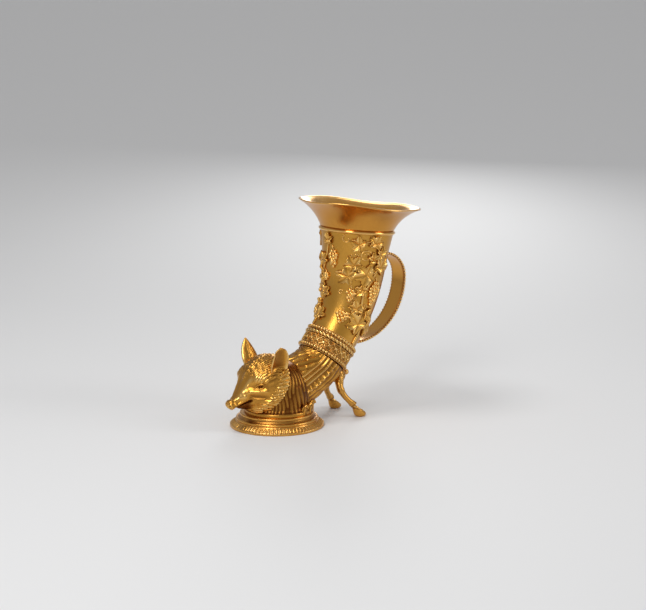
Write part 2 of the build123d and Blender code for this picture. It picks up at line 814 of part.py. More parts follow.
# Handle screws: domed heads inside the cup
with BuildPart() as handle_screws:
    for place in (upper_screw_at, lower_screw_at):
        with BuildSketch(pad_screw_plane(place)):
            Circle(pad_screw_diameter / 2)
        extrude(amount=cast_wall + pad_grip)
        with BuildSketch(pad_screw_plane(place)):
            Circle(pad_screw_head / 2)
        extrude(amount=-pad_screw_dome, taper=25)
handle_screws.part.label = "handle_screws"
export_step(handle_screws.part, "parts/handle_screws.step")

# Beads along the strap's edges, on a thin rail
rail_thickness = edge_bead / 5
bead_start = degrees(1.3 * edge_bead / handle_top_radius)
top_beads = int(radians(90 - bead_start) * handle_top_radius / edge_bead_pitch)
low_beads = int(radians(90 - bead_start) * handle_low_radius / edge_bead_pitch)
rail_plane = Plane.XZ.offset(handle_width / 2)
with BuildPart() as handle_left_beads:
    with BuildSketch(rail_plane):
        with BuildLine():
            CenterArc((top_arc_x, handle_reach_z), handle_top_radius, 90, -90)
            CenterArc((low_arc_x, handle_reach_z), handle_low_radius, 0, -90)
        trace(line_width=edge_bead * 0.8)
    extrude(amount=rail_thickness)
    with Locations((top_arc_x, -handle_width / 2 - rail_thickness, handle_reach_z)):
        with Locations(Plane.XZ):
            with PolarLocations(handle_top_radius, top_beads, 0, 90 - bead_start):
                Sphere(edge_bead / 2)
    with Locations((low_arc_x, -handle_width / 2 - rail_thickness, handle_reach_z)):
        with Locations(Plane.XZ):
            with PolarLocations(handle_low_radius, low_beads, bead_start - 90, 90 - bead_start):
                Sphere(edge_bead / 2)
    split(bisect_by=rail_plane, keep=Keep.TOP)
    add(horn_outside, mode=Mode.SUBTRACT)
handle_left_beads.part.label = "handle_left_beads"
export_step(handle_left_beads.part, "parts/handle_left_beads.step")

with BuildPart() as handle_right_beads:
    add(handle_left_beads.part.mirror(Plane.XZ))
handle_right_beads.part.label = "handle_right_beads"
export_step(handle_right_beads.part, "parts/handle_right_beads.step")

# Legs: each hangs from the saddle by a tenon and stands on a cloven hoof
# Stations of the right leg as point and radius, from the saddle to the fetlock
leg_stations = (
    (Vector(saddle_x - 0.2, 6.5, saddle_z - 1.1), 4.3),
    (Vector(saddle_x - 2.2, 9.0, saddle_z - 5.6), 3.9),
    (Vector(saddle_x - 3.2, 12.0, saddle_z - 11.6), 3.4),
    (Vector(saddle_x - 0.6, 15.0, saddle_z - 18.6), 3.1),
    (Vector(saddle_x + 4.2, 18.0, saddle_z - 25.0), 3.0),
    (Vector(saddle_x + 8.5, 20.0, saddle_z - 29.4), fetlock_diameter / 2),
)


def leg_plane(index):
    """Plane across the leg at a station, square to the line between its neighbours."""
    before = leg_stations[max(index - 1, 0)][0]
    after = leg_stations[min(index + 1, len(leg_stations) - 1)][0]
    return Plane(origin=leg_stations[index][0], x_dir=(1, 0, 0), z_dir=after - before)


tenon_start = (leg_stations[1][0] + leg_stations[2][0]) * 0.5
tenon_reach = leg_stations[0][0] - tenon_start
tenon_plane = Plane(origin=tenon_start, z_dir=tenon_reach)

with BuildPart() as leg_sockets:
    with BuildSketch(tenon_plane):
        Circle(leg_tenon / 2 + slip)
    extrude(amount=tenon_reach.length + slip)

with BuildPart() as leg_saddle:
    with BuildSketch(Plane.XZ):
        with Locations((saddle_x, saddle_z)):
            Circle(saddle_radius)
    extrude(amount=saddle_width / 2, both=True)
    add(neck_outside, mode=Mode.SUBTRACT)
    with BuildSketch(lower_plane):
        Circle(2 * seat_radius)
    extrude(amount=collar_length, mode=Mode.SUBTRACT)
    add(leg_sockets.part, mode=Mode.SUBTRACT)
    add(leg_sockets.part.mirror(Plane.XZ), mode=Mode.SUBTRACT)
    with BuildSketch(ball_plane.offset(-2 * saddle_radius)):
        Circle(ball_shank / 2 + screw_room)
    extrude(amount=4 * saddle_radius, mode=Mode.SUBTRACT)
leg_saddle.part.label = "leg_saddle"
export_step(leg_saddle.part, "parts/leg_saddle.step")

# Ball screw: holds the saddle to the neck
with BuildPart() as ball_screw:
    with BuildSketch(ball_plane):
        Circle(ball_shank / 2 + ball_collar)
    extrude(amount=ball_reach)
    add(leg_saddle.part, mode=Mode.SUBTRACT)
    with BuildSketch(ball_plane.offset(ball_reach)):
        Circle(ball_shank / 2)
    extrude(amount=-(ball_reach + saddle_radius + ball_grip))
    with Locations(saddle_middle + ball_direction * ball_reach):
        Sphere(ball_diameter / 2)
ball_screw.part.label = "ball_screw"
export_step(ball_screw.part, "parts/ball_screw.step")

with BuildPart() as right_leg:
    for index, station in enumerate(leg_stations):
        with BuildSketch(leg_plane(index)):
            Circle(station[1])
    loft()
    with BuildSketch(Plane.XZ):
        with Locations((saddle_x, saddle_z)):
            Circle(saddle_radius)
    extrude(amount=saddle_width, both=True, mode=Mode.SUBTRACT)
    with BuildSketch(tenon_plane):
        Circle(leg_tenon / 2)
    extrude(amount=tenon_reach.length)
right_leg.part.label = "right_leg"
export_step(right_leg.part, "parts/right_leg.step")

with BuildPart() as left_leg:
    add(right_leg.part.mirror(Plane.XZ))
left_leg.part.label = "left_leg"
export_step(left_leg.part, "parts/left_leg.step")

# Hooves: widen from the fetlock to a flat sole on the ground
fetlock = leg_stations[-1][0]
sole_middle = Vector(fetlock.X + 0.55 * hoof_length, fetlock.Y + 1.5, 0)
with BuildPart() as right_hoof:
    with BuildSketch(leg_plane(len(leg_stations) - 1)):
        Circle(fetlock_diameter / 2)
    with BuildSketch(Plane((sole_middle + fetlock) * 0.5 + Vector(hoof_length / 8, 0, -1))):
        Ellipse(hoof_length * 0.44, hoof_width * 0.46)
    with BuildSketch(Plane(sole_middle)):
        Ellipse(hoof_length / 2, hoof_width / 2)
    loft()
    with BuildSketch(Plane(sole_middle + Vector(hoof_length / 2, 0, 0))):
        Rectangle(hoof_length * 0.7, hoof_cleft)
    extrude(amount=hoof_width * 0.7, mode=Mode.SUBTRACT)
right_hoof.part.label = "right_hoof"
export_step(right_hoof.part, "parts/right_hoof.step")

with BuildPart() as left_hoof:
    add(right_hoof.part.mirror(Plane.XZ))
left_hoof.part.label = "left_hoof"
export_step(left_hoof.part, "parts/left_hoof.step")


def leaf_corners(size, tip_turn):
    """Corners of a leaf with five pointed lobes, by turns in a notch and on a tip."""
    corners = []
    for index, tip in enumerate(lobe_tips):
        lobe = radians(tip_turn + (index - 2) * lobe_pitch)
        notch = lobe - radians(lobe_pitch / 2)
        corners.append((size * lobe_notch * cos(notch), size * lobe_notch * sin(notch)))
        corners.append((size * tip * cos(lobe), size * tip * sin(lobe)))
    last = radians(tip_turn + len(lobe_tips) / 2 * lobe_pitch)
    corners.append((size * lobe_notch * cos(last), size * lobe_notch * sin(last)))
    return corners


def vine_spray(stem_points, leaf_places):
    """Stem and leaves in one casting: prisms on tangent planes, kept between the horn and a skin above it."""
    with BuildPart() as spray:
        for place, turn, size, tip_turn in leaf_places:
            with BuildSketch(horn_tangent(place, turn)):
                Polygon(*leaf_corners(size, tip_turn), align=None)
        for (place, turn), (next_place, next_turn) in zip(stem_points, stem_points[1:]):
            middle = (place + next_place) / 2
            run = Vector(radians(next_turn - turn) * horn_radius(middle), next_place - place, 0)
            with BuildSketch(horn_tangent(middle, (turn + next_turn) / 2)):
                SlotCenterToCenter(run.length, stem_width, rotation=degrees(atan2(run.Y, run.X)))
        extrude(amount=vine_reach, both=True)
        add(horn_vine_skin, mode=Mode.INTERSECT)
        add(horn_outside, mode=Mode.SUBTRACT)
    return spray.part


def vine_grapes(bunches):
    """Bunches of grapes, row under row, each grape a ball cut by the horn."""
    middles = []
    for stalk, turn, rows in bunches:
        for row, count in enumerate(rows):
            place = stalk - row * grape_pitch * sin(radians(60))
            for index in range(count):
                shift = (index - (count - 1) / 2) * grape_pitch
                middles.append(horn_point(place, turn + degrees(shift / horn_radius(place)), grape_lift))
    with BuildPart() as grapes:
        with Locations(*middles):
            Sphere(grape_diameter / 2)
        add(horn_outside, mode=Mode.SUBTRACT)
    return grapes.part


# Vine: a spray and its grapes on the front and on each side of the horn
with BuildPart() as front_vine:
    add(vine_spray(front_stem_points, front_leaf_places))
front_vine.part.label = "front_vine"
export_step(front_vine.part, "parts/front_vine.step")

with BuildPart() as left_vine:
    add(vine_spray(left_stem_points, left_leaf_places))
left_vine.part.label = "left_vine"
export_step(left_vine.part, "parts/left_vine.step")

with BuildPart() as right_vine:
    add(left_vine.part.mirror(Plane.XZ))
right_vine.part.label = "right_vine"
export_step(right_vine.part, "parts/right_vine.step")

with BuildPart() as front_grapes:
    add(vine_grapes(front_bunches))
front_grapes.part.label = "front_grapes"
export_step(front_grapes.part, "parts/front_grapes.step")

with BuildPart() as left_grapes:
    add(vine_grapes(left_bunches))
left_grapes.part.label = "left_grapes"
export_step(left_grapes.part, "parts/left_grapes.step")

with BuildPart() as right_grapes:
    add(left_grapes.part.mirror(Plane.XZ))
right_grapes.part.label = "right_grapes"
export_step(right_grapes.part, "parts/right_grapes.step")
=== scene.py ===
"""Looks of the gilt rhyton: sculpted skins over the CAD frame, gilt shaders, a studio and the photo's view.

Surfaces are written in millimetres as functions of two parameters on a grid and scaled to metres when meshed.
"""

import bmesh
import bpy
import numpy as np
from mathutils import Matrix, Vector


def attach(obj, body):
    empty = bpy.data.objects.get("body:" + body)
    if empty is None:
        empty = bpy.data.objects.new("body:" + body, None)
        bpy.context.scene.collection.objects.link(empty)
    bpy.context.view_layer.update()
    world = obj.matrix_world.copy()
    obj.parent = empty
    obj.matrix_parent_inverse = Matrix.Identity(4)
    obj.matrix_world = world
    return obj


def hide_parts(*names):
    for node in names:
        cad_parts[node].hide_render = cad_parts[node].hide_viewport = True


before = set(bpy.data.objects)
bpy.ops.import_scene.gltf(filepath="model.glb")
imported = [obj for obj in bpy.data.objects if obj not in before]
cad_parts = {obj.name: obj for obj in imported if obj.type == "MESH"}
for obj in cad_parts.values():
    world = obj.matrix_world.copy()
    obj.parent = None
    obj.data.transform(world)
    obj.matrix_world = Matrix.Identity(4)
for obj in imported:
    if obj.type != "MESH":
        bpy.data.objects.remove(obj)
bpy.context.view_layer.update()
MM = 0.001
rng = np.random.default_rng(11)


# Small maths

def step(a, b, x):
    """Smooth rise from 0 at a to 1 at b."""
    t = np.clip((x - a) / (b - a), 0, 1)
    return t * t * (3 - 2 * t)


def bell(x, width):
    """Gaussian of a distance."""
    return np.exp(-(x / width) ** 2)


def direction(angle):
    """Unit vectors in the XZ plane at an angle in degrees above the horizontal, as x, 0, z."""
    a = np.radians(angle)
    return np.stack([np.cos(a), np.zeros_like(a), np.sin(a)], -1)


def circle(count):
    """Angles round a full turn, in radians."""
    return np.linspace(0, 2 * np.pi, count, endpoint=False)


def ease(keys, values, x):
    """Smooth curve through key values: cubic pieces with three-point slopes."""
    keys, values = np.asarray(keys, float), np.asarray(values, float)
    slope = np.gradient(values, keys)
    i = np.clip(np.searchsorted(keys, x) - 1, 0, len(keys) - 2)
    h = keys[i + 1] - keys[i]
    t = np.clip((x - keys[i]) / h, 0, 1)
    return ((2 * t**3 - 3 * t**2 + 1) * values[i] + (t**3 - 2 * t**2 + t) * h * slope[i]
            + (3 * t**2 - 2 * t**3) * values[i + 1] + (t**3 - t**2) * h * slope[i + 1])


def ripple(p, pitch, seed):
    """Soft unevenness: a sum of eight sine waves in seeded directions, about -1 to 1, over points p."""
    r = np.random.default_rng(seed)
    total = 0
    for k in range(8):
        d = r.normal(size=3)
        d /= np.linalg.norm(d)
        total = total + np.sin(p @ d * (2 * np.pi / pitch) * (0.6 + 0.12 * k) + r.uniform(0, 6.3))
    return total / 4


def locks(along, across, length, width, seed):
    """Overlapping locks of hair, 0 to 1: each is a ridge that rises along its length, narrows and drops."""
    bent = across / width + 0.55 * np.sin(along / (1.9 * length) + 0.4 * across / width)
    column = np.floor(bent)
    phase = np.abs(np.sin(column * 12.9898 + seed * 4.1) * 43758.5453) % 1
    rise = (along / length + phase) % 1
    ridge = np.sin(np.pi * (bent - column)) ** (0.7 + 2.6 * step(0.45, 1.0, rise))
    strand = 0.82 + 0.18 * np.cos((bent - column) * 6 * np.pi)
    return ridge * (0.25 + 0.75 * rise**0.7 * step(1.0, 0.9, rise)) * strand


# Meshes

class Skin:
    """Collects grids of points into one mesh, with a height value from 0 in the hollows to 1 on the highs; on
    some parts it also holds painted shade and painted highlights.
    """

    def __init__(self):
        self.points, self.heights, self.faces, self.count = [], [], [], 0

    def grid(self, p, height=0.6, ring_rows=False, ring_columns=True, caps=(False, False)):
        """Adds points p[row, column]; caps close the first and last row with a fan to its middle."""
        rows, columns = p.shape[:2]
        i, j = np.meshgrid(np.arange(rows if ring_rows else rows - 1),
                           np.arange(columns if ring_columns else columns - 1), indexing="ij")
        i2, j2 = (i + 1) % rows, (j + 1) % columns
        corners = [i * columns + j, i2 * columns + j, i2 * columns + j2, i * columns + j2]
        quads = np.stack(corners, -1).reshape(-1, 4)
        flat = p.reshape(-1, 3)
        values = np.broadcast_to(np.asarray(height, float), p.shape[:2]).ravel()
        self.faces.extend((quads + self.count).tolist())
        for wanted, row in zip(caps, (0, rows - 1)):
            if wanted:
                ring = row * columns + np.arange(columns)
                middle = len(flat)
                flat = np.vstack([flat, p[row].mean(0)])
                values = np.append(values, values[ring].mean())
                fan = np.stack([ring, np.roll(ring, -1), np.full(columns, middle)], -1)
                self.faces.extend((fan + self.count).tolist())
        self.points.append(flat)
        self.heights.append(values)
        self.count += len(flat)

    def make(self, name, slot, material, *nodes):
        """Makes the object, turns its faces outwards and puts it in place of its CAD nodes."""
        mesh = bpy.data.meshes.new(name)
        mesh.from_pydata(np.vstack(self.points) * MM, [], self.faces)
        shape = bmesh.new()
        shape.from_mesh(mesh)
        bmesh.ops.recalc_face_normals(shape, faces=shape.faces)
        shape.to_mesh(mesh)
        shape.free()
        mesh.shade_smooth()
        mesh.attributes.new("height", "FLOAT", "POINT").data.foreach_set(
            "value", np.clip(np.concatenate(self.heights), 0, 1).astype(np.float32))
        mesh.materials.append(material)
        obj = bpy.data.objects.new(name, mesh)
        bpy.context.scene.collection.objects.link(obj)
        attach(obj, "root")
        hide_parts(*nodes)


def tube(path, radius, sides, up):
    """Rings round a path: at each point a circle square to the path, whose first point is towards up."""
    along = np.gradient(path, axis=0)
    along /= np.linalg.norm(along, axis=1, keepdims=True)
    side = np.cross(along, up)
    side /= np.linalg.norm(side, axis=1, keepdims=True)
    lift = np.cross(side, along)
    a = circle(sides)
    r = np.broadcast_to(radius, len(path))[:, None, None]
    return path[:, None] + r * (np.cos(a)[:, None] * lift[:, None] + np.sin(a)[:, None] * side[:, None])


def through(points, count):
    """Smooth path through points: a cubic curve along the summed distances between them."""
    points = np.asarray(points, float)
    run = np.r_[0, np.cumsum(np.linalg.norm(np.diff(points, axis=0), axis=1))]
    x = np.linspace(0, run[-1], count)
    return np.stack([ease(run, points[:, k], x) for k in range(points.shape[1])], -1)


def balls(skin, middles, radius, rows=9, columns=14, height=0.9):
    """Adds a ball at each middle: circles of latitude round an upright axis, closed at both poles."""
    lat = np.linspace(-np.pi / 2, np.pi / 2, rows + 2)[1:-1]
    lon = circle(columns)
    unit = np.stack([np.cos(lat)[:, None] * np.cos(lon), np.cos(lat)[:, None] * np.sin(lon),
                     np.broadcast_to(np.sin(lat)[:, None], (rows, columns))], -1)
    for middle, r in zip(middles, np.broadcast_to(radius, len(middles))):
        skin.grid(middle + r * unit, height, caps=(True, True))


# Shaders

class Sock:
    """A shader socket with arithmetic: each operator adds a Math node to the same tree."""

    def __init__(self, tree, socket):
        self.tree, self.socket = tree, socket

    def node(self, kind, *inputs, **settings):
        """Adds a node, links or sets its inputs in order and returns it."""
        made = self.tree.nodes.new(kind)
        for key, value in settings.items():
            setattr(made, key, value)
        for index, value in enumerate(inputs):
            if isinstance(value, Sock):
                self.tree.links.new(value.socket, made.inputs[index])
            else:
                made.inputs[index].default_value = value
        return made

    def math(self, operation, *inputs):
        """Adds a Math node and returns its output."""
        return Sock(self.tree, self.node("ShaderNodeMath", *inputs, operation=operation).outputs[0])

    def __add__(self, other):
        return self.math("ADD", self, other)

    def __mul__(self, other):
        return self.math("MULTIPLY", self, other)

    def __sub__(self, other):
        return self.math("SUBTRACT", self, other)

    def noise(self, scale, detail):
        """Noise over this vector, 0 to 1."""
        made = self.node("ShaderNodeTexNoise", self)
        made.inputs["Scale"].default_value = scale
        made.inputs["Detail"].default_value = detail
        return Sock(self.tree, made.outputs["Fac"])

    def span(self, low, high, start=0.0, end=1.0):
        """Maps low..high to start..end, clamped."""
        return Sock(self.tree, self.node("ShaderNodeMapRange", self, low, high, start, end).outputs[0])

    def blend(self, a, b):
        """Colour a where this is 0 and b where it is 1."""
        made = self.node("ShaderNodeMix", data_type="RGBA")
        self.tree.links.new(self.socket, made.inputs["Factor"])
        for name, value in (("A", a), ("B", b)):
            port = [s for s in made.inputs if s.name == name and s.type == "RGBA"][0]
            if isinstance(value, Sock):
                self.tree.links.new(value.socket, port)
            else:
                port.default_value = (*value, 1)
        return Sock(self.tree, [s for s in made.outputs if s.type == "RGBA"][0])


def gilt(name, deep, gold, bright, rough, grain, grain_size, use_height=True):
    """Gilt metal: red-brown in the hollows, gold on the ground, pale on the rubbed highs, finely uneven;
    painted shade and painted highlights in the height value take the same colours.
    """
    material = bpy.data.materials.new(name)
    material.use_nodes = True
    tree = material.node_tree
    shader = tree.nodes["Principled BSDF"]
    place = Sock(tree, tree.nodes.new("ShaderNodeTexCoord").outputs["Object"])
    cloud = place.noise(45.0, 4.0)
    fine = place.noise(grain_size, 5.0)
    if use_height:
        reader = tree.nodes.new("ShaderNodeAttribute")
        reader.attribute_name = "height"
        height = Sock(tree, reader.outputs["Fac"]) + (cloud - 0.5) * 0.25 + (fine - 0.5) * 0.2
    else:
        height = (cloud - 0.5) * 0.5 + (fine - 0.5) * 0.5 + 0.6
    colour = height.span(0.62, 0.98).blend(height.span(0.12, 0.55).blend(deep, gold), bright)
    tree.links.new(colour.socket, shader.inputs["Base Color"])
    gloss = height.span(0.1, 0.9, rough + 0.16, rough - 0.04) + (cloud - 0.5) * 0.14
    tree.links.new(gloss.socket, shader.inputs["Roughness"])
    shader.inputs["Metallic"].default_value = 1.0
    bump = place.node("ShaderNodeBump")
    bump.inputs["Strength"].default_value = grain
    bump.inputs["Distance"].default_value = 0.0006
    tree.links.new((fine + cloud * 0.4).socket, bump.inputs["Height"])
    tree.links.new(bump.outputs["Normal"], shader.inputs["Normal"])
    return material


DEEP = (0.14, 0.045, 0.010)
satin = gilt("satin gilt", (0.26, 0.105, 0.017), (0.60, 0.30, 0.050), (0.78, 0.44, 0.11),
             rough=0.26, grain=0.22, grain_size=900.0, use_height=False)
polished = gilt("polished gilt", (0.40, 0.145, 0.022), (0.66, 0.315, 0.056), (0.86, 0.50, 0.15),
                rough=0.17, grain=0.05, grain_size=500.0)
relief = gilt("relief gilt", DEEP, (0.66, 0.33, 0.056), (0.92, 0.57, 0.18),
              rough=0.22, grain=0.12, grain_size=1200.0)
trim = gilt("trim gilt", DEEP, (0.60, 0.32, 0.070), (0.92, 0.62, 0.24),
            rough=0.22, grain=0.14, grain_size=1200.0)
chased = gilt("chased gilt", (0.13, 0.038, 0.007), (0.62, 0.30, 0.050), (0.94, 0.62, 0.22),
              rough=0.21, grain=0.16, grain_size=1100.0)
footing = gilt("foot gilt", (0.20, 0.07, 0.014), (0.64, 0.32, 0.064), (0.92, 0.58, 0.21),
               rough=0.24, grain=0.12, grain_size=1000.0)
bare = gilt("bare brass", (0.30, 0.20, 0.08), (0.56, 0.42, 0.20), (0.66, 0.52, 0.28),
            rough=0.42, grain=0.20, grain_size=700.0, use_height=False)


# Horn: centre line, radius and points on its surface; all places along it start at the collar's top

COLLAR = np.array([61.9, 0.0, 71.5])
COLLAR_ANGLE, COLLAR_HALF = 53.0, 12.0
MOUTH_ANGLE, BEND_RADIUS, STRAIGHT = 84.5, 134.0, 41.5
BODY_RADIUS, MIDDLE_RADIUS, MOUTH_RADIUS = 24.4, 31.0, 37.2
TOP = COLLAR + direction(COLLAR_ANGLE) * COLLAR_HALF
BOTTOM = COLLAR - direction(COLLAR_ANGLE) * COLLAR_HALF
ARC = np.radians(MOUTH_ANGLE - COLLAR_ANGLE) * BEND_RADIUS
LENGTH = ARC + STRAIGHT
ACROSS = np.array([0, 1.0, 0])
BEND_END = TOP + (direction(MOUTH_ANGLE - 90) - direction(COLLAR_ANGLE - 90)) * BEND_RADIUS


def horn_radius(place):
    """Radius of the horn at a place along it."""
    share = place / LENGTH
    return BODY_RADIUS + (MOUTH_RADIUS - BODY_RADIUS) * share * (0.62 + 0.38 * share)


def horn(place, turn, lift):
    """Points on the horn: place along it, turn in degrees (0 front, 90 left, 180 back), lift outwards."""
    place, turn, lift = np.broadcast_arrays(*(np.asarray(v, float) for v in (place, turn, lift)))
    angle = np.minimum(COLLAR_ANGLE + np.degrees(place / BEND_RADIUS), MOUTH_ANGLE)
    bent = TOP + (direction(angle - 90) - direction(COLLAR_ANGLE - 90)) * BEND_RADIUS
    straight = BEND_END + direction(MOUTH_ANGLE) * (place - ARC)[..., None]
    middle = np.where((place < ARC)[..., None], bent, straight)
    out = direction(angle + 90) * np.cos(np.radians(turn))[..., None]
    out = out - ACROSS * np.sin(np.radians(turn))[..., None]
    return middle + out * (horn_radius(place) + lift)[..., None]


def on_horn(place, turn, x, y, lift):
    """Points near a place on the horn: x mm round it and y mm along it."""
    return horn(place + y, turn + np.degrees(x / horn_radius(place + y)), lift)


# Lip: arc profile outside and inside, with a gently waving edge, and the round fillet under it

FILLET_RADIUS = 1.75


def flare(start, end, angle, share):
    """Arc from start to end that leaves at an angle; share runs along it from 0 to 1."""
    start, end = np.array(start), np.array(end)
    chord = end - start
    square = np.array([np.sin(np.radians(angle)), -np.cos(np.radians(angle))])
    radius = chord @ chord / (2 * chord @ square)
    middle = start + square * radius
    a = [np.arctan2(*(p - middle)[::-1]) for p in (start, end)]
    sweep = a[0] + (a[1] - a[0]) * share
    return middle + abs(radius) * np.stack([np.cos(sweep), np.sin(sweep)], -1)


def mouth_points(radius, turn, y):
    """Points round the mouth's axis: radius, turn in radians from the back, y along it from the mouth."""
    axis, back = direction(MOUTH_ANGLE), direction(MOUTH_ANGLE - 90)
    mouth = BEND_END + axis * STRAIGHT
    return (mouth + y[..., None] * axis + (radius * np.cos(turn))[..., None] * back
            + (radius * np.sin(turn))[..., None] * ACROSS)


def make_lip():
    """Profile loop turned about the mouth's axis; the edge rises and falls by three waves of the angle."""
    share = np.linspace(0, 1, 44)
    outer = flare((37.25, 0.0), (61.3, 24.2), 66.0, share)
    inner = flare((33.4, 0.0), (59.6, 24.9), 66.0, share)[::-1]
    edge = np.array([[61.9, 24.5], [62.0, 25.1], [61.5, 25.6], [60.6, 25.6]])
    foot = np.array([[33.2, -3.0], [33.2, -5.9], [34.5, -5.9], [34.5, -3.0], [34.6, -0.02]])
    loop = np.vstack([outer, edge, inner, foot])
    a = circle(288)
    reach = np.clip((loop[:, 0] - 36) / 26, 0, 1)[:, None] ** 2
    wave = 1.1 * np.cos(a - 2.6) + 0.75 * np.cos(3 * a + 0.9) + 0.55 * np.cos(5 * a - 0.7)
    swell = 0.9 * np.cos(3 * a + 2.2) + 0.6 * np.cos(2 * a)
    r = loop[:, :1] + reach * swell
    y = loop[:, 1:] + reach * wave
    height = 0.45 + 0.45 * bell(loop[:, 1:] - 25.3, 1.2) * reach + 0 * a
    # The inside of the lip is lighter all round: painted light on the lip's inside.
    height[len(outer) + len(edge):] += 0.25
    skin = Skin()
    skin.grid(mouth_points(r, a, y), height, ring_rows=True)
    skin.make("lip_skin", "gilt_polished", polished, "flared_lip")
    b = circle(18)[:, None]
    r = 37.3 + FILLET_RADIUS * np.cos(b) + 0 * a
    y = -1.9 + FILLET_RADIUS * np.sin(b) + 0 * a
    skin = Skin()
    skin.grid(mouth_points(r, a, y), 0.75 + 0.2 * np.cos(b), ring_rows=True)
    skin.make("fillet_skin", "gilt_polished", polished, "lip_fillet")


# Vine: leaves, stems, tendrils and grapes in the horn's own coordinates

LEAF_SCALE, LOBE_ANGLE = 1.42, np.radians(62)
# Bare band of the horn under the lip
CLEAR_BAND = 5.0
GRAPE_ACROSS, GRAPE_DOWN = 3.6, 3.0
# Leaves as place, turn, size, direction of the tip
LEFT_LEAVES = [
    (19.0, 92.0, 10.5, 150.0), (20.0, 124.0, 8.0, 40.0), (33.0, 74.0, 7.0, 115.0),
    (67.0, 43.0, 10.0, 165.0), (80.0, 52.0, 8.0, 125.0), (71.0, 77.0, 10.5, 200.0),
    (79.0, 106.0, 9.0, 60.0), (92.0, 101.0, 6.5, 20.0), (101.0, 59.0, 7.5, 160.0),
    (103.0, 86.0, 7.5, 75.0), (54.0, 75.0, 6.5, 235.0), (87.0, 87.0, 5.5, 100.0),
    (31.0, 105.0, 6.0, 20.0),
]
FRONT_LEAVES = [
    (14.0, -8.0, 7.5, 60.0), (27.0, -26.0, 6.5, 130.0), (43.0, -8.0, 7.0, 50.0),
    (53.0, -22.0, 7.0, 120.0), (82.0, -12.0, 6.5, 120.0), (103.0, 2.0, 5.5, 90.0),
]
# Stems as place and turn
LEFT_STEM = [
    (0.5, 110.0), (18.0, 104.0), (33.0, 86.0), (47.0, 80.0), (60.0, 86.0),
    (72.0, 96.0), (84.0, 103.0), (95.0, 96.0), (106.0, 82.0),
]
FRONT_STEM = [
    (0.5, -20.0), (16.0, -15.0), (32.0, -20.0), (48.0, -17.0),
    (64.0, -20.0), (80.0, -10.0), (90.0, -2.0), (103.0, 2.0),
]
# Bunches as place, turn, grapes in each row
LEFT_BUNCHES = [
    (63.0, 103.0, (2, 3, 4, 4, 3, 3, 2, 1)),
    (51.5, 54.0, (2, 3, 2, 2, 1)),
    (25.0, 51.0, (3, 4, 3, 2, 1)),
]
FRONT_BUNCHES = [(92.0, 14.0, (2, 3, 3, 2, 2, 1)), (66.0, -6.0, (2, 2, 1))]
# Tendrils as place, turn, first radius, turns of the spiral, start angle
LEFT_TENDRILS = [
    (90.0, 72.0, 6.0, 1.6, 20.0), (89.5, 54.0, 4.0, 1.3, 160.0), (39.0, 92.0, 3.6, 1.2, 200.0),
    (107.0, 92.0, 4.0, 0.8, 250.0), (41.0, 64.0, 4.0, 1.3, 60.0), (106.0, 38.0, 4.5, 0.9, 120.0),
    (47.0, 33.0, 3.0, 1.0, 40.0),
]
FRONT_TENDRILS = [(36.0, -12.0, 3.0, 1.3, 90.0), (72.0, -24.0, 3.2, 1.3, 10.0)]


def leaf(skin, place, turn, size, tip, side):
    """Lobed leaf: distance from the middle by angle, cupped between five veins, skirt into the horn."""
    a = np.linspace(-np.pi, np.pi, 132, endpoint=False)
    nearest = np.clip(np.round(a / LOBE_ANGLE), -2, 2) * LOBE_ANGLE
    off = np.abs(a - nearest) / (LOBE_ANGLE / 2)
    tip_reach = np.interp(np.abs(nearest), [0, LOBE_ANGLE, 2 * LOBE_ANGLE], [1.0, 0.9, 0.72])
    rim = LEAF_SCALE * size * tip_reach * (0.58 + 0.42 * np.clip(1 - off, 0, 1) ** 0.9)
    rim *= 1 + 0.06 * np.sin(26 * a)
    rows = np.array([0.06, 0.15, 0.27, 0.4, 0.53, 0.65, 0.76, 0.86, 0.94, 1.0, 1.02, 1.0])[:, None]
    r = rows * rim
    share = np.clip(rows, 0, 1)
    vein = bell(np.clip(off, 0, 2), 0.2) * share * (1 - 0.5 * share)
    curl = np.cos(a * 3 + 1.7 * place) * share**2
    fold = np.clip(off, 0, 1) * share
    lift = 1.3 + 1.9 * share * (1 - 0.55 * share**3) + 1.0 * curl + 0.8 * fold - 1.0 * vein
    lift[-2], lift[-1] = 0.6, -0.5
    angle = a + np.radians(tip)
    x, y = r * np.cos(angle), r * np.sin(angle)
    y = np.minimum(y, LENGTH - CLEAR_BAND - place)
    height = 0.72 + 0.22 * curl + 0.12 * fold - 0.75 * vein * (rows > 0.1) - 0.25 * bell(rows, 0.12)
    # The skirt rows where the leaf meets the horn are darker: painted shade under the leaf's edge.
    height[-2:] = 0.2
    skin.grid(on_horn(place, side * turn, side * x, y, lift), height, caps=(True, True))


def stem(skin, points, radius, side, lift=0.35, count=90):
    """Winding stem: a tube along a smooth path over the horn, thicker at its foot, with small knots."""
    path = through(points, count)
    share = np.linspace(0, 1, count)
    knots, end = 1 + 0.12 * np.sin(share * 37), np.clip((1 - share) * 12 + 0.35, 0, 1)
    thick = radius * (1.1 - 0.45 * share) * knots * end
    centre = horn(path[:, 0], side * path[:, 1], lift)
    up = horn(path[:, 0], side * path[:, 1], lift + 1) - centre
    p = tube(centre, thick, 12, up)
    a = circle(12)
    skin.grid(p, 0.45 + 0.45 * np.cos(a) + 0 * share[:, None], caps=(True, True))


def tendril(skin, place, turn, radius, turns, start, side):
    """Curling tendril: a thin tube on a spiral whose radius falls to a quarter."""
    t = np.linspace(0, 1, 60)
    a = np.radians(start) + 2 * np.pi * turns * t
    r = radius * (1 - 0.75 * t)
    points = np.stack([place + r * np.sin(a), turn + np.degrees(r * np.cos(a) / MIDDLE_RADIUS)], -1)
    stem(skin, points, 0.62, side, 0.15, 60)


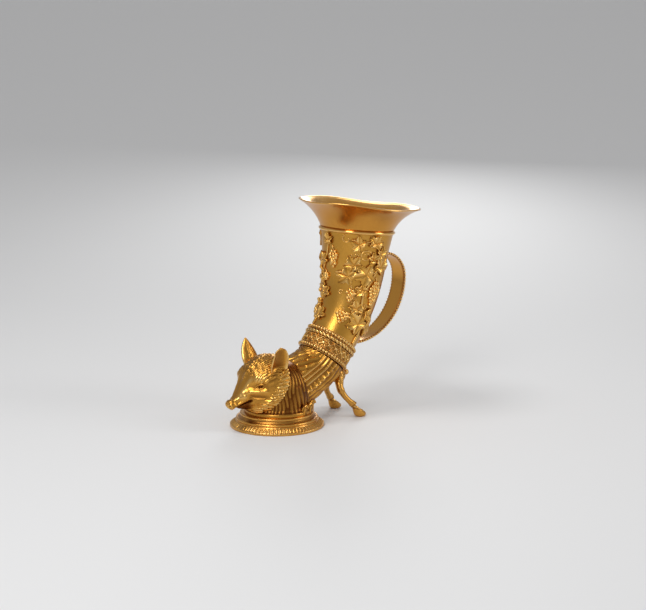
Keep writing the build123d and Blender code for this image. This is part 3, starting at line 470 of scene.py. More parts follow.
def grape_middles(bunches, side):
    """Middles of the grapes: rows under a stalk, shifted a little, with a second layer over the inner."""
    middles = []
    for stalk, turn, rows in bunches:
        for row, count in enumerate(rows):
            for index in range(count):
                x = (index - (count - 1) / 2) * GRAPE_ACROSS
                y = -row * GRAPE_DOWN
                shifted = side * x + rng.uniform(-0.3, 0.3)
                middles.append(on_horn(stalk, side * turn, shifted, y, 0.9 + rng.uniform(-0.2, 0.3)))
                if 0 < index < count - 1 or (count == 2 and 0 < row < len(rows) - 2 and index == 0):
                    middles.append(on_horn(stalk, side * turn, side * x + 1.2, y - 1.3, 2.3))
    return middles


def petiole(skin, leaf_data, stem_points, side):
    """Short stalk from the nearest place on the stem to the leaf's middle."""
    path = through(stem_points, 60)
    place, turn = leaf_data[:2]
    gap = np.hypot(path[:, 0] - place, (path[:, 1] - turn) * 0.5)
    root = path[np.argmin(gap + 0.35 * np.maximum(path[:, 0] - place, 0))]
    middle = (root + np.array([place, turn])) / 2 + np.array([1.5, 2.0])
    stem(skin, [root, middle, (place, turn)], 0.85, side, 0.4, 24)


def make_vine(name, leaves, stem_points, bunches, tendrils, side):
    """One spray of the vine and its grapes; side is 1 for the left and the front, -1 for the right."""
    skin = Skin()
    stem(skin, stem_points, 1.35, side)
    for data in leaves:
        petiole(skin, data, stem_points, side)
        leaf(skin, *data, side)
    for data in tendrils:
        tendril(skin, *data, side)
    for stalk, turn, _ in bunches:
        points = [(stalk + 6.0, turn - 4.0), (stalk + 3.0, turn - 1.0), (stalk - 1.0, turn)]
        stem(skin, points, 0.8, side, 0.3, 16)
    skin.make(name + "_vine_skin", "gilt_relief", relief, name + "_vine")
    fruit = Skin()
    middles = grape_middles(bunches, side)
    balls(fruit, middles, rng.uniform(1.85, 2.2, len(middles)))
    fruit.make(name + "_grape_skin", "gilt_relief", relief, name + "_grapes")


# Collar: four rings about the collar's axis

COLLAR_BEADS, ROPE_TURNS, LATTICE_TURNS = 50, 18, 11


def collar_points(radius, turn, y):
    """Points round the collar's axis: radius, turn in radians from the front, y along it from its middle."""
    axis, front = direction(COLLAR_ANGLE), direction(COLLAR_ANGLE + 90)
    return (COLLAR + y[..., None] * axis + (radius * np.cos(turn))[..., None] * front
            - (radius * np.sin(turn))[..., None] * ACROSS)


def make_collar():
    """Bead rows: tubes that swell once a bead. Rope: a tube of twisted strands. Band: a lattice in relief."""
    a = circle(900)
    b = circle(20)[:, None]
    for node, y0 in (("collar_lower_beads", -9.8), ("collar_upper_beads", 9.8)):
        bead = np.abs(np.cos(COLLAR_BEADS * a / 2)) ** 0.55
        size = 0.75 + 0.95 * bead
        skin = Skin()
        r = 25.9 + size * np.cos(b) * 1.1
        bead_height = 0.15 + 0.75 * bead * (0.6 + 0.4 * np.cos(b))
        skin.grid(collar_points(r, a + 0 * b, y0 + size * np.sin(b)), bead_height, ring_rows=True)
        for dy in (-1.85, 1.85):
            rail_y = y0 + dy + 0.45 * np.sin(b) + 0 * a
            rail = collar_points(25.3 + 0.75 * np.cos(b) + 0 * a, a + 0 * b, rail_y)
            skin.grid(rail, 0.45 + 0.35 * np.cos(b) + 0 * a, ring_rows=True)
        skin.make(node + "_skin", "gilt_trim", trim, node)
    strand = np.abs(np.sin(ROPE_TURNS * a + b)) ** 0.7
    size = 1.45 + 0.65 * strand
    skin = Skin()
    rope = collar_points(25.7 + size * np.cos(b), a + 0 * b, 5.4 + size * np.sin(b))
    skin.grid(rope, 0.1 + 0.85 * strand * (0.65 + 0.35 * np.cos(b)), ring_rows=True)
    skin.make("rope_skin", "gilt_trim", trim, "collar_rope")
    y = np.linspace(-5.4, 5.4, 46)[:, None]
    turn = LATTICE_TURNS * a
    wave = 2.9 * (2 / np.pi) * np.arcsin(np.sin(turn + np.pi / 2))
    line = np.maximum(bell(y * 0.85 - wave, 0.75), bell(y * 0.85 + wave, 0.75))
    stud = sum(bell(np.hypot(y, 26 * f(turn) / LATTICE_TURNS), 0.85) for f in (np.sin, np.cos))
    border = bell(np.abs(y) - 4.7, 0.5) + 0 * a
    rise = np.clip(line + stud + border, 0, 1.1)
    outside = collar_points(25.35 + 1.25 * rise, a + 0 * y, y - 2.2 + 0 * a)
    ends = [collar_points(24.3 + 0 * a, a, np.full_like(a, e)) for e in (3.2, -7.6)]
    skin = Skin()
    height = np.concatenate([0.28 + 0.55 * rise, np.full((2, len(a)), 0.1)])
    skin.grid(np.concatenate([outside, ends]), height, ring_rows=True)
    skin.make("band_skin", "gilt_trim", trim, "collar_band")


# Foot: moulded profile with a chased border of leaf tips

FOOT_RADIUS, BORDER_LEAVES = 47.0, 76


def make_foot():
    """Profile turned about Z; the sloping border carries a row of ribbed leaves, by angle and place on it."""
    a = circle(960)
    border = np.stack([np.linspace(FOOT_RADIUS, 41.0, 34), np.linspace(2.2, 6.8, 34)], -1)
    edge = np.array([[42.0, 0.0], [44.5, 0.0], [46.6, 0.0], [FOOT_RADIUS, 0.35], [FOOT_RADIUS, 1.2]])
    b = np.linspace(-0.9, 2.0, 14)
    roll = np.stack([39.6 + 1.5 * np.cos(b), 8.2 + 1.5 * np.sin(b)], -1)
    b = np.linspace(0, 1, 12)
    groove = np.stack([38.6 - 2.1 * np.sin(b * np.pi / 2), 9.7 + 2.3 * b], -1)
    top = np.array([[36.4, 12.0], [37.0, 12.15], [37.1, 12.6], [37.1, 13.6], [36.9, 14.1], [36.4, 14.3],
                    [33.0, 14.3], [30.0, 14.3], [30.0, 11.0], [33.0, 10.9], [40.0, 3.4], [42.0, 3.3]])
    loop = np.vstack([edge, border, roll, groove, top])
    share = np.zeros(len(loop))
    first, last = len(edge), len(edge) + len(border)
    share[first:last] = np.linspace(0, 1, len(border))
    on = np.zeros(len(loop))
    on[first:last] = 1
    share, on = share[:, None], on[:, None]
    cell = (a * BORDER_LEAVES / (2 * np.pi)) % 1 - 0.5
    half = 0.42 * np.sqrt(np.clip(1 - ((share - 0.12) / 0.78) ** 2, 0, 1)) + 0.01
    inside = step(1.0, 0.55, np.abs(cell) / half)
    rib = bell(cell, 0.07)
    rail = bell(share - 0.06, 0.05) + bell(share - 0.95, 0.05)
    rise = on * np.clip(inside * (0.8 - 0.45 * rib) + rail, 0, 1)
    wear = ripple(np.stack([FOOT_RADIUS * np.cos(a), FOOT_RADIUS * np.sin(a), 0 * a], -1), 17.0, 3)
    outward, upward, depth = 0.61, 0.79, 0.42
    r = loop[:, :1] + outward * depth * (rise - 0.5 * on) + 0 * a
    z = loop[:, 1:] + upward * depth * (rise - 0.5 * on) + 0 * a
    p = np.stack([r * np.cos(a), r * np.sin(a), z], -1)
    height = np.where(on > 0, 0.5 + 0.32 * rise, 0.62 + 0 * a) + 0.08 * wear
    in_groove = slice(last + len(roll) - 2, last + len(roll) + len(groove) + 2)
    height[in_groove] -= 0.3
    skin = Skin()
    skin.grid(p, height, ring_rows=True)
    skin.make("foot_skin", "gilt_foot", footing, "foot_ring")


# Neck and chest

CHEST_X, CHEST_RADIUS, CHEST_COLUMNS = 2.0, 31.5, 46
NECK_BEND, NECK_ANGLE = 40.0, 28.0


def chest_locks(z, bearing):
    """Long wavy locks that hang round the chest, by height and bearing from its axis."""
    across = bearing * CHEST_RADIUS + 1.2 * np.sin(z / 5.0)
    return locks(70 - z, across, 22.0, 2 * np.pi * CHEST_RADIUS / CHEST_COLUMNS, 3)


def leaf_tip(skin, bearing):
    """Curled leaf tip at the chest's foot: a tapering tube that climbs, leans outwards and turns down."""
    run = through([(31.6, 15.5), (32.3, 19.5), (33.8, 22.8), (35.9, 23.6), (36.7, 22.2)], 40)
    a = np.radians(bearing)
    path = np.stack([CHEST_X + run[:, 0] * np.cos(a), run[:, 0] * np.sin(a), run[:, 1]], -1)
    radius = ease([0, 0.4, 0.75, 1.0], [3.4, 3.0, 2.2, 0.9], np.linspace(0, 1, 40))
    across = np.broadcast_to([-np.sin(a), np.cos(a), 0], path.shape)
    p = tube(path, radius, 24, across)
    b = circle(24)
    p = path[:, None] + (p - path[:, None]) * (1 + 0.12 * np.cos(6 * b))[:, None]
    skin.grid(p, 0.3 + 0.3 * np.cos(6 * b) + 0.3 * np.linspace(0, 1, 40)[:, None], caps=(True, True))


def make_neck():
    """Neck: circles along a bend and a run, with mane, ridges and leaves. Chest: a turned bell of locks."""
    skin = Skin()
    run = np.linspace(-12.0, 52.0, 210)
    turn = circle(240)
    angle = np.clip(COLLAR_ANGLE - np.degrees(np.maximum(run, 0) / NECK_BEND), NECK_ANGLE, COLLAR_ANGLE)
    bent = BOTTOM + (direction(angle - 90) - direction(COLLAR_ANGLE - 90)) * NECK_BEND
    past = np.maximum(run - np.radians(COLLAR_ANGLE - NECK_ANGLE) * NECK_BEND, 0)
    middle = bent - direction(angle) * past[:, None] - direction(angle) * np.minimum(run, 0)[:, None]
    s, t = run[:, None], np.degrees(np.abs((turn + np.pi) % (2 * np.pi) - np.pi))
    radius = np.where(s < 0, 23.9, 24.2 + 2.6 * np.clip((s - 17) / 36, 0, 1)) + 0 * t
    arc = t * np.pi / 180 * 25
    curl = locks(s + 2.0 * np.sin(arc * 0.7), arc + 0.5 * s, 14.0, 5.2, 5)
    mane = step(60, 50, t) * curl
    ridge = np.zeros_like(radius)
    for place in (62.0, 72.0, 82.0):
        ridge = np.maximum(ridge, bell(t - place, 2.9))
    ridge = ridge * step(50, 38, s)
    leafy = np.zeros_like(radius)
    for place in np.arange(98.0, 181.0, 13.5):
        flow = t - place - 3.0 * np.sin(s / 7.0 + place)
        beading = 0.4 + 0.6 * np.abs(np.sin(s * np.pi / 13.0 + place)) ** 0.6
        leafy = np.maximum(leafy, bell(flow, 3.8) * beading)
    leafy = leafy * step(90, 95, t) * step(52, 44, s)
    drop = step(88, 92, t) * step(108, 102, t) * np.abs(np.sin(s * np.pi / 6.0)) ** 2
    rise = np.clip(1.3 * mane + 2.0 * ridge + 1.4 * leafy + 0.7 * drop, 0, 2.4)
    shown = step(0.0, 2.0, s)
    radius = radius + shown * (rise - 0.5)
    out = direction(angle + 90)[:, None] * np.cos(turn)[:, None] - ACROSS * np.sin(turn)[:, None]
    height = np.where(t < 60, 0.30 + 0.5 * curl, 0.26 + 0.30 * rise) * shown
    skin.grid(middle[:, None] + radius[..., None] * out, height, caps=(True, True))
    z = np.linspace(0, 1, 140)
    keys = [0, 0.05, 0.14, 0.3, 0.5, 0.68, 0.84, 0.95, 1.0]
    r0 = ease(keys, [34.3, 34.3, 32.0, 31.2, 31.6, 28.5, 20.5, 10.0, 1.0], z)[:, None]
    z0 = ease(keys, [14.3, 16.8, 20.0, 26.0, 36.0, 48.0, 59.0, 64.2, 65.4], z)[:, None]
    a = circle(280)
    hair = chest_locks(z0 + 0 * a, a)
    above = step(17, 21, z0)
    rise = above * 1.3 * hair
    r = r0 + rise - 0.4 * above
    p = np.stack([CHEST_X + r * np.cos(a), r * np.sin(a), z0 + 0 * a], -1)
    # The chest is kept dark, gold only on the lock ridges: painted shade under the head.
    skin.grid(p, 0.06 + 0.46 * hair * above + 0.4 * step(18.5, 17, z0), caps=(True, True))
    for bearing in (20.0, 38.0, 56.0, 74.0):
        for side in (-1, 1):
            leaf_tip(skin, bearing * side)
    skin.make("neck_skin", "gilt_chased", chased, "neck")


# Head

HEAD = np.array([CHEST_X, 0.0, 52.0])
DIP = 23.0
ALONG, ABOVE = direction(180 + DIP), direction(90 + DIP)
# Middle of the eye, along the head's axis and above it
EYE = (34.6, 8.6)


def make_head():
    """Ellipses along the head's axis, moved outwards by a sum of soft bumps, grooves and locks of hair."""
    body_rows, disc_rows = 262, 24
    t = np.concatenate([np.linspace(-12, 63.0, body_rows), np.full(disc_rows, 63.6)])
    shrink = np.concatenate([np.ones(body_rows), np.linspace(1.0, 0.04, disc_rows)])[:, None]
    body = np.concatenate([np.ones(body_rows), np.zeros(disc_rows)])[:, None]
    keys = [-12, -5, 0, 10, 20, 30, 40, 50, 54, 58, 61, 64]
    above = ease(keys, [11, 19.0, 22.2, 25.4, 25.4, 21.8, 15.0, 8.2, 5.8, 4.8, 5.4, 4.6], t)[:, None]
    below = ease(keys, [16, 26, 29, 30, 28.5, 25.5, 20.0, 13.2, 10.2, 7.2, 5.4, 4.4], t)[:, None]
    upper = ease(keys, [14, 23, 25.6, 28.0, 28.0, 24.8, 16.2, 9.0, 6.5, 5.5, 6.2, 5.4], t)[:, None]
    lower = ease(keys, [14, 24.5, 27.5, 29.6, 29.6, 26.4, 18.0, 10.6, 8.2, 6.4, 6.2, 5.4], t)[:, None]
    a = circle(300)
    half = upper + (lower - upper) * step(0.25, -0.45, np.sin(a))
    y = half * np.sign(np.cos(a)) * np.abs(np.cos(a)) ** 0.88 * shrink
    h = np.where(np.sin(a) > 0, above, below) * np.sign(np.sin(a)) * np.abs(np.sin(a)) ** 0.94 * shrink
    p = HEAD + t[:, None, None] * ALONG + h[..., None] * ABOVE + y[..., None] * ACROSS
    normal = np.cross(np.gradient(p, axis=0), np.roll(p, -1, 1) - np.roll(p, 1, 1))
    normal /= np.linalg.norm(normal, axis=-1, keepdims=True) + 1e-9
    x, z, w = p[..., 0], p[..., 2], np.abs(p[..., 1])
    t = t[:, None] + 0 * a

    def mound(cx, cy, cz, sx, sy, sz):
        """Soft mound on both sides of the face."""
        return np.exp(-((x - cx) / sx) ** 2 - ((w - cy) / sy) ** 2 - ((z - cz) / sz) ** 2)

    brow, socket = mound(-30, 16.5, 53.5, 8, 7, 5), bell(t - EYE[0], 5.0) * bell(h - EYE[1], 3.0)
    side_on = step(2, 6, w) * step(28, 32, t) * body
    bone_line = np.interp(t, [30, 34, 42, 50, 56], [1.5, 4.0, 6.2, 2.4, 0.5])
    bone = bell(h - bone_line, 2.6) * side_on * step(56, 48, t)
    hollow = bell(h + 5 - 0.54 * (t - 30.7), 2.4) * side_on * step(49, 43, t) * step(28, 36, t)
    ridge = bell(w - np.interp(t, [30, 40, 57], [12.0, 8.5, 4.2]), 2.2)
    ridge = ridge * step(32, 38, t) * step(60, 56, t) * step(1, 4, h)
    cheek = mound(-31, 22, 33, 8, 9, 5)
    move = 2.0 * brow - 2.2 * socket + 1.4 * cheek + 0.9 * ridge + 1.0 * bone - 1.2 * hollow
    lip_line = np.interp(t, [44, 50, 57, 63], [-1.8, -3.0, -3.9, -4.2])
    gape = bell(h - lip_line, 1.2) * step(43, 47, t) * step(63.5, 60, t) * step(1.0, 3.0, w)
    jaw = step(44, 50, t) * step(-0.4, -2.0, h - lip_line) * body
    lip = bell(h - lip_line - 2.4, 1.2) * step(46, 50, t) * body
    move += body * -3.0 * gape - jaw * (1.2 + 2.2 * step(56, 62, t)) + 0.7 * lip
    edge = np.interp(z, [14, 19.4, 26.8, 33.6, 41.2, 51, 62, 80],
                     [-26.5, -23.5, -19.8, -14.5, -9.5, -5, -4, -4])
    behind = (x - edge) * np.interp(z, [12, 35, 50], [0.6, 0.8, 1.0])
    down = np.hypot(z - 70, np.minimum(edge + 5, 0))
    brow_hair = step(38, 28, t) * step(6, 13, h) * step(-2.0, -5.0, behind)
    hair = locks(-t, y * 1.05 + 0.2 * t * np.sign(y), 6.5, 2.3, 2)
    crest = bell(w, 2.2) * step(44, 36, t) * step(4, 9, h) * (0.7 + 0.3 * np.sin(t * 1.9))
    ruff = step(-13.0, -8.0, behind) * step(1.2, 0.0, behind) * step(0, 6, w) * step(15, 9, h) * body
    fur = locks(behind + 9 + 1.5 * np.sin(down * 0.8), down + 0.25 * behind, 7.0, 3.0, 7)
    tuck = step(0.2, 1.6, behind) * np.maximum(step(3, 9, w), step(4, 10, h))
    mane = chest_locks(z, np.arctan2(p[..., 1], x - CHEST_X))
    under = step(-9, -14, h) * step(44, 36, t) * locks(-t, y, 9.0, 3.0, 4) * (1 - ruff)
    move += 1.25 * brow_hair * hair + 1.1 * crest + 0.5 * under
    move += ruff * (2.4 * fur + 1.6 * step(-11, -1, behind))
    move += tuck * (1.2 * mane - 4.5) + 0.12 * ripple(p, 5.0, 8) * body
    nostril = bell(np.hypot((w - 2.9) * 1.1, h - 0.2 + 0.5 * (w - 2.9)), 1.25) * (1 - body)
    nose_rim = bell(np.hypot((w - 2.9) * 0.9, h - 0.2) - 2.3, 0.8) * (1 - body)
    p = p + move[..., None] * normal * body[..., None]
    p = p + ALONG * ((1 - body) * (1.2 * (1 - shrink**2) - 2.6 * nostril + 0.7 * nose_rim))[..., None]
    # The ruff is lifted 0.24 brighter than the face: painted highlight on the ruff.
    height = 0.47 + 0.75 * brow_hair * (hair - 0.38) + ruff * (0.24 + 0.6 * (fur - 0.36))
    # The brow and the snout's ridge are brighter: painted highlights.
    height += 0.15 * crest + 0.4 * brow + 0.3 * ridge + 0.25 * bone - 0.22 * hollow
    # The mouth's gape, the lower jaw and the eye sockets are darker: painted shade.
    height += -0.5 * gape - 0.34 * jaw - 0.3 * socket - 0.7 * nostril + 0.35 * nose_rim
    # The tuck behind the ruff is kept dark, gold only on the lock ridges: painted shade under the head.
    height = height * (1 - tuck) + tuck * (0.06 + 0.46 * mane)
    skin = Skin()
    skin.grid(p, height, caps=(True, True))

    def on_face(along, high, side, lift):
        """Point of the finished face nearest to a place along the head and a height above its axis."""
        far = np.hypot(t - along, h - high) + np.where(y * side > 0, 0, 99.0)
        spot = np.unravel_index(np.argmin(far), far.shape)
        return p[spot] + lift * normal[spot]

    corner_to_corner = np.linspace(-1, 1, 6)
    for side in (-1, 1):
        # The eyeballs are nearly the deepest colour: painted shade in the eyes.
        balls(skin, [on_face(*EYE, side, -1.7)], 2.9, 14, 20, 0.1)
        for lid, thick in ((2.3, 0.9), (-1.9, 0.65)):
            rim = [on_face(EYE[0] + 4.8 * k, EYE[1] - 0.5 * k + lid * (1 - k**2), side, 0.35)
                   for k in corner_to_corner]
            path = through(rim, 30)
            up = np.broadcast_to([-0.25, 0.93 * side, 0.25], path.shape)
            radius = thick * (1.05 - 0.7 * np.linspace(-1, 1, 30) ** 2)
            skin.grid(tube(path, radius, 10, up), 0.55, caps=(True, True))
    skin.make("head_skin", "gilt_chased", chased, "head")


def make_ear(side):
    """Cupped ear: rows from root to tip, each a loop out along the back and in along the hollow front."""
    base, tip = np.array([-13.7, 23.2 * side, 59.0]), np.array([-16.5, 31.0 * side, 85.6])
    axis = (tip - base) / np.linalg.norm(tip - base)
    outward = np.array([-0.05, 1.0 * side, 0.0])
    facing = outward - axis * (axis @ outward)
    facing /= np.linalg.norm(facing)
    wide = np.cross(axis, facing)
    u = np.linspace(0, 1, 60)[:, None]
    # The left ear is blunter in the photo
    widths = [8.6, 9.6, 9.2, 7.4, 4.6, 1.0] if side < 0 else [8.6, 9.3, 8.0, 4.7, 2.0, 0.4]
    width = ease([0, 0.2, 0.5, 0.78, 0.93, 1.0], widths, u)
    depth = ease([0, 0.3, 0.7, 1.0], [3.6, 3.4, 2.2, 0.4], u)
    v = np.linspace(-1, 1, 44)
    back = np.stack([v * width, -depth * (1 - v**2) ** 0.8], -1)
    hollow = np.clip(1 - v**2, 0, 1) ** 0.7
    tuft = 0.5 * np.abs(np.sin(v * 9 + 3 * u)) * step(0.5, 0.75, np.abs(v))
    tuft = tuft * step(0.02, 0.12, u) * step(0.95, 0.7, u)
    cup = hollow * step(0.05, 0.2, u) * step(1.0, 0.85, u)
    front_depth = -0.8 * depth * cup + 0.9 * (1 - hollow) ** 2 + tuft
    front = np.stack([v[::-1] * width * 0.97, (front_depth + 0.25)[:, ::-1]], -1)
    loop = np.concatenate([back, front], 1)
    spine = base + (u * np.linalg.norm(tip - base))[..., None] * axis
    p = spine + loop[..., :1] * wide + loop[..., 1:] * facing
    p = p + (2.2 * np.sin(np.pi * u) * u)[..., None] * facing
    fur = locks(u * 23 + 0 * v, v * 7.5, 8.0, 2.4, 6)
    p[:, :len(v)] -= (0.35 * fur * step(0, 0.15, u) * step(1.0, 0.85, u) * (1 - v**2))[..., None] * facing
    rim = step(0.72, 0.95, np.abs(v))
    inside = 0.62 - 0.3 * cup + 0.25 * rim + 0.4 * tuft
    height = np.concatenate([0.42 + 0.15 * fur + 0.3 * rim, inside[:, ::-1]], 1)
    skin = Skin()
    skin.grid(p, height, caps=(True, True))
    name = "left" if side < 0 else "right"
    skin.make(name + "_ear_skin", "gilt_chased", chased, name + "_ear")


# Handle: strap of two arcs, pads where it meets the horn, and beads

HANDLE_LEVEL, STRAP_HALF, BEAD_PITCH = 136.8, 9.4, 3.1


def make_handle():
    """Strap swept along two arcs, a shallow trough across its width, with a row of beads along each edge."""
    upper = np.radians(np.linspace(90, 0, 60))
    lower = np.radians(np.linspace(0, -90, 110))[1:]
    bearing = np.concatenate([upper, lower])
    out = np.stack([np.cos(bearing), np.sin(bearing)], -1)
    middle_x = np.repeat([128, 91.4], [len(upper), len(lower)])
    radius = np.repeat([26, 62.6], [len(upper), len(lower)])
    path = np.stack([middle_x + radius * out[:, 0], HANDLE_LEVEL + radius * out[:, 1]], -1)
    v = np.linspace(-1, 1, 30)
    top = np.stack([STRAP_HALF * v, 1.3 - 0.5 * (1 - v**4) + 0.35 * bell(v, 0.25)], -1)
    under = np.stack([STRAP_HALF * v[::-1], -1.3 + 0.25 * (1 - v**4)], -1)
    loop = np.concatenate([top, under])
    p = np.stack([path[:, None, 0] + out[:, None, 0] * loop[:, 1], loop[:, 0] + 0 * path[:, :1],
                  path[:, None, 1] + out[:, None, 1] * loop[:, 1]], -1)
    skin = Skin()
    # The strap darkens towards its edges: painted shade beside the beads.
    skin.grid(p, 0.58 - 0.5 * np.abs(np.r_[v, v[::-1]]) ** 10, caps=(True, True))
    a = circle(60)
    rows = np.array([0.1, 0.3, 0.55, 0.8, 0.95, 1.0, 0.98])[:, None]
    lift = 3.4 * np.clip(1 - rows**4, 0, 1) ** 0.5
    lift[-1] = -0.4
    width, length = 7.5, 8.5
    for place in (88.0, 11.0):
        pad = on_horn(place, 180.0, rows * width * np.cos(a), rows * length * np.sin(a), lift + 0 * a)
        skin.grid(pad, 0.6, caps=(True, True))
    skin.make("strap_skin", "gilt_polished", polished, "handle_strap")
    distance = np.r_[0, np.cumsum(np.linalg.norm(np.diff(path, axis=0), axis=1))]
    spots = np.arange(3.2, distance[-1] - 1.5, BEAD_PITCH)
    x, z = np.interp(spots, distance, path[:, 0]), np.interp(spots, distance, path[:, 1])
    for name, side in (("left", -1), ("right", 1)):
        beads = Skin()
        balls(beads, np.stack([x, np.full_like(x, side * 10.4), z], -1), 1.25, 9, 12, 0.95)
        rail = np.stack([path[:, 0], np.full(len(path), side * 9.5), path[:, 1]], -1)
        up = np.stack([out[:, 0], 0 * out[:, 0], out[:, 1]], -1)
        # The rail under the beads is the deepest colour: painted shade between the beads and the strap.
        beads.grid(tube(rail, 0.7, 10, up), 0.0, caps=(True, True))
        beads.make(name + "_bead_skin", "gilt_trim", trim, "handle_" + name + "_beads")


# Prop legs

def make_leg(side):
    """Leg: circles along a bent path, thick at the thigh, swelling at the joints. Hoof: a cloven block."""
    points = np.array([[72.6, 6.5, 42.0], [70.9, 8.6, 37.5], [69.6, 12, 30],
                       [72.2, 15, 23], [77.0, 18, 16.6], [81.3, 20, 12.2]])
    points[:, 1] *= side
    path = through(points, 90)
    share = np.linspace(0, 1, 90)
    radius = ease([0, 0.15, 0.35, 0.45, 0.6, 0.8, 0.92, 1.0], [5.0, 4.5, 3.7, 3.5, 3.0, 2.9, 3.3, 3.7], share)
    radius = radius + 0.35 * bell(share - 0.44, 0.05) + 0.35 * bell(share - 0.92, 0.02)
    p = tube(path, radius, 36, np.broadcast_to([1.0, 0, 0.3], path.shape))
    a = circle(36)
    sinew = 0.25 * np.cos(3 * a) * step(0.15, 0.5, share)[:, None]
    fur = locks(share[:, None] * 40, a * 3.0, 8.0, 1.9, 3) * step(0.5, 0.2, share)[:, None]
    p = p + (0.07 * sinew + 0.10 * fur)[..., None] * (p - path[:, None])
    skin = Skin()
    skin.grid(p, 0.55 + 0.3 * fur - 0.3 * bell(share - 0.965, 0.02)[:, None], caps=(True, True))
    name = "left" if side < 0 else "right"
    skin.make(name + "_leg_skin", "gilt_foot", footing, name + "_leg")
    t = np.linspace(0, 1, 44)[:, None]
    a = circle(72)
    start, end = np.array([81.3, 20.0 * side, 12.6]), np.array([88.2, 21.5 * side, 0.0])
    middle = start + (end - start) * t[..., None] + np.array([1.4, 0, 0.9]) * (t * (1 - t))[..., None] * 4
    keys = [0, 0.12, 0.3, 0.45, 0.7, 0.86, 0.95, 1.0]
    long = ease(keys, [3.4, 4.1, 5.4, 6.3, 7.0, 6.5, 5.5, 4.2], t)
    wide = ease(keys, [3.4, 3.9, 4.6, 5.2, 5.5, 5.2, 4.5, 3.4], t)
    cleft = bell(np.sin(a), 0.2) * (np.cos(a) > 0) * step(0.3, 0.6, t)
    band = bell(t - 0.34, 0.06)
    r = 1 - 0.34 * cleft + 0.06 * band - 0.05 * bell(t - 0.44, 0.04)
    lean = 0.75 * (1 - t) ** 1.3
    p = np.stack([middle[..., 0] + r * long * np.cos(a), middle[..., 1] + r * wide * np.sin(a),
                  np.maximum(middle[..., 2] - lean * long * np.cos(a), 0.0)], -1)
    skin = Skin()
    skin.grid(p, 0.6 - 0.5 * cleft + 0.35 * band - 0.35 * bell(t - 0.45, 0.05), caps=(True, True))
    skin.make(name + "_hoof_skin", "gilt_foot", footing, name + "_hoof")


def make_saddle():
    """Saddle over the legs: circles about a crosswise axis, rounded at the ends; and the ball."""
    v = np.linspace(-1, 1, 40)[:, None]
    a = circle(60)
    r = 8.1 * np.clip(1 - np.abs(v) ** 3.2, 0.02, 1) ** 0.45 + 0.25 * np.cos(8 * a) * (1 - v**2)
    p = np.stack([72.8 + r * np.cos(a), 10.8 * v + 0 * a, 41.6 + r * np.sin(a)], -1)
    skin = Skin()
    skin.grid(p, 0.4 + 0.25 * np.cos(8 * a) + 0 * v, caps=(True, True))
    skin.make("saddle_skin", "gilt_foot", footing, "leg_saddle")
    skin = Skin()
    t = np.linspace(0, 1, 30)
    path = np.stack([76.0 + 10.0 * t, 0 * t, 41.9 + 0.8 * t], -1)
    shank = tube(path, 2.2 - 0.5 * t, 20, np.broadcast_to([0, 0, 1.0], path.shape))
    skin.grid(shank, 0.3, caps=(True, True))
    balls(skin, [np.array([85.75, 0, 42.7])], 3.0, 16, 24, 0.8)
    skin.make("ball_skin", "gilt_foot", footing, "ball_screw")


make_lip()
make_vine("left", LEFT_LEAVES, LEFT_STEM, LEFT_BUNCHES, LEFT_TENDRILS, 1)
make_vine("right", LEFT_LEAVES, LEFT_STEM, LEFT_BUNCHES, LEFT_TENDRILS, -1)
make_vine("front", FRONT_LEAVES, FRONT_STEM, FRONT_BUNCHES, FRONT_TENDRILS, 1)
make_collar()
make_foot()
make_neck()
make_head()
for hand in (-1, 1):
    make_ear(hand)
    make_leg(hand)
make_handle()
make_saddle()

# CAD nodes that keep their own shape
for node in ("horn_cup", "cup_floor", "foot_plate", "tie_screw", "head_screw", "handle_screws"):
    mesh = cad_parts[node].data
    mesh.materials.clear()
    mesh.materials.append(satin if node == "horn_cup" else bare)
    mesh.shade_smooth()
    mesh.set_sharp_from_angle(angle=0.6)


# Studio

def plain(name, colour, rough):
    """Plain material of one colour."""
    material = bpy.data.materials.new(name)
    material.use_nodes = True
    shader = material.node_tree.nodes["Principled BSDF"]
    shader.inputs["Base Color"].default_value = (*colour, 1)
    shader.inputs["Roughness"].default_value = rough
    return material


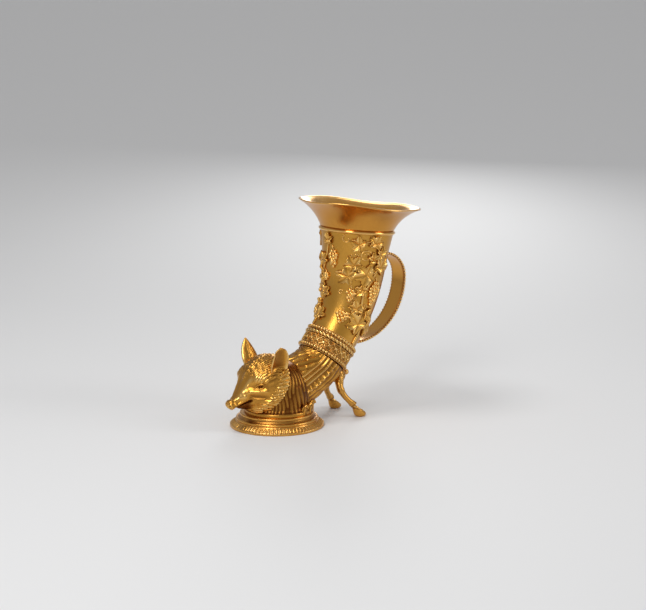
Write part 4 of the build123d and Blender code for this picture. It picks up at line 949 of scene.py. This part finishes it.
# Floor that sweeps up into a backdrop behind the object, square to the view
sweep = np.radians(np.linspace(0, 90, 24))
BACKDROP, SWEEP_RADIUS = 0.7, 3.0
out_run = np.concatenate([[-4.0, 0.0], BACKDROP + SWEEP_RADIUS * np.sin(sweep)])
rise = np.concatenate([[0.0, 0.0], SWEEP_RADIUS - SWEEP_RADIUS * np.cos(sweep)])
yaw, pitch = np.radians(36.0), np.radians(10.5)
ahead, right = np.array([np.sin(yaw), np.cos(yaw), 0]), np.array([np.cos(yaw), -np.sin(yaw), 0])
upward = np.array([0, 0, 1.0])
rows = out_run[:, None, None] * ahead + rise[:, None, None] * upward
rows = rows + np.array([-5.0, 5.0])[:, None] * right
floor_mesh = bpy.data.meshes.new("floor")
strips = [(2 * i, 2 * i + 1, 2 * i + 3, 2 * i + 2) for i in range(len(rows) - 1)]
floor_mesh.from_pydata(rows.reshape(-1, 3), [], strips)
floor_mesh.shade_smooth()
floor_mesh.materials.append(plain("pale floor", (0.74, 0.74, 0.74), 0.7))
floor = bpy.data.objects.new("floor", floor_mesh)
bpy.context.scene.collection.objects.link(floor)

world = bpy.data.worlds.new("studio")
bpy.context.scene.world = world
world.use_nodes = True
world.node_tree.nodes["Background"].inputs["Color"].default_value = (0.44, 0.44, 0.445, 1)


def lamp(name, place, aim, size, power):
    """Soft rectangular lamp that looks at a point."""
    data = bpy.data.lights.new(name, "AREA")
    data.shape = "RECTANGLE"
    data.size, data.size_y = size
    data.energy = power
    obj = bpy.data.objects.new(name, data)
    obj.location = place
    obj.rotation_euler = (Vector(aim) - Vector(place)).to_track_quat("-Z", "Y").to_euler()
    bpy.context.scene.collection.objects.link(obj)


lamp("key", (-1.15, -0.75, 1.05), aim=(0, 0, 0.1), size=(0.55, 0.8), power=8.5)
lamp("side", (0.95, -0.95, 0.75), aim=(0.08, 0, 0.12), size=(0.35, 0.9), power=4)
lamp("top", (-0.5, 0.05, 1.3), aim=(0.0, 0, 0.1), size=(0.45, 0.45), power=5.2)
lamp("rim", (0.9, 0.9, 0.7), aim=(0.08, 0, 0.12), size=(0.4, 0.8), power=3.6)

# Camera fitted to the photo: focal length and width in pixels, place in metres
FOCAL, PHOTO_WIDTH, SENSOR = 1700.0, 646.0, 36.0
camera_data = bpy.data.cameras.new("camera")
camera_data.sensor_width = SENSOR
camera_data.sensor_fit = "HORIZONTAL"
camera_data.lens = FOCAL * SENSOR / PHOTO_WIDTH
camera_data.dof.use_dof = False
camera = bpy.data.objects.new("camera", camera_data)
camera.location = (-0.9325, -1.3617, 0.4273)
forward = np.cos(pitch) * ahead - np.sin(pitch) * upward
camera.rotation_euler = Vector(forward).to_track_quat("-Z", "Y").to_euler()
bpy.context.scene.collection.objects.link(camera)
bpy.context.scene.camera = camera
bpy.context.scene.view_settings.view_transform = "Standard"
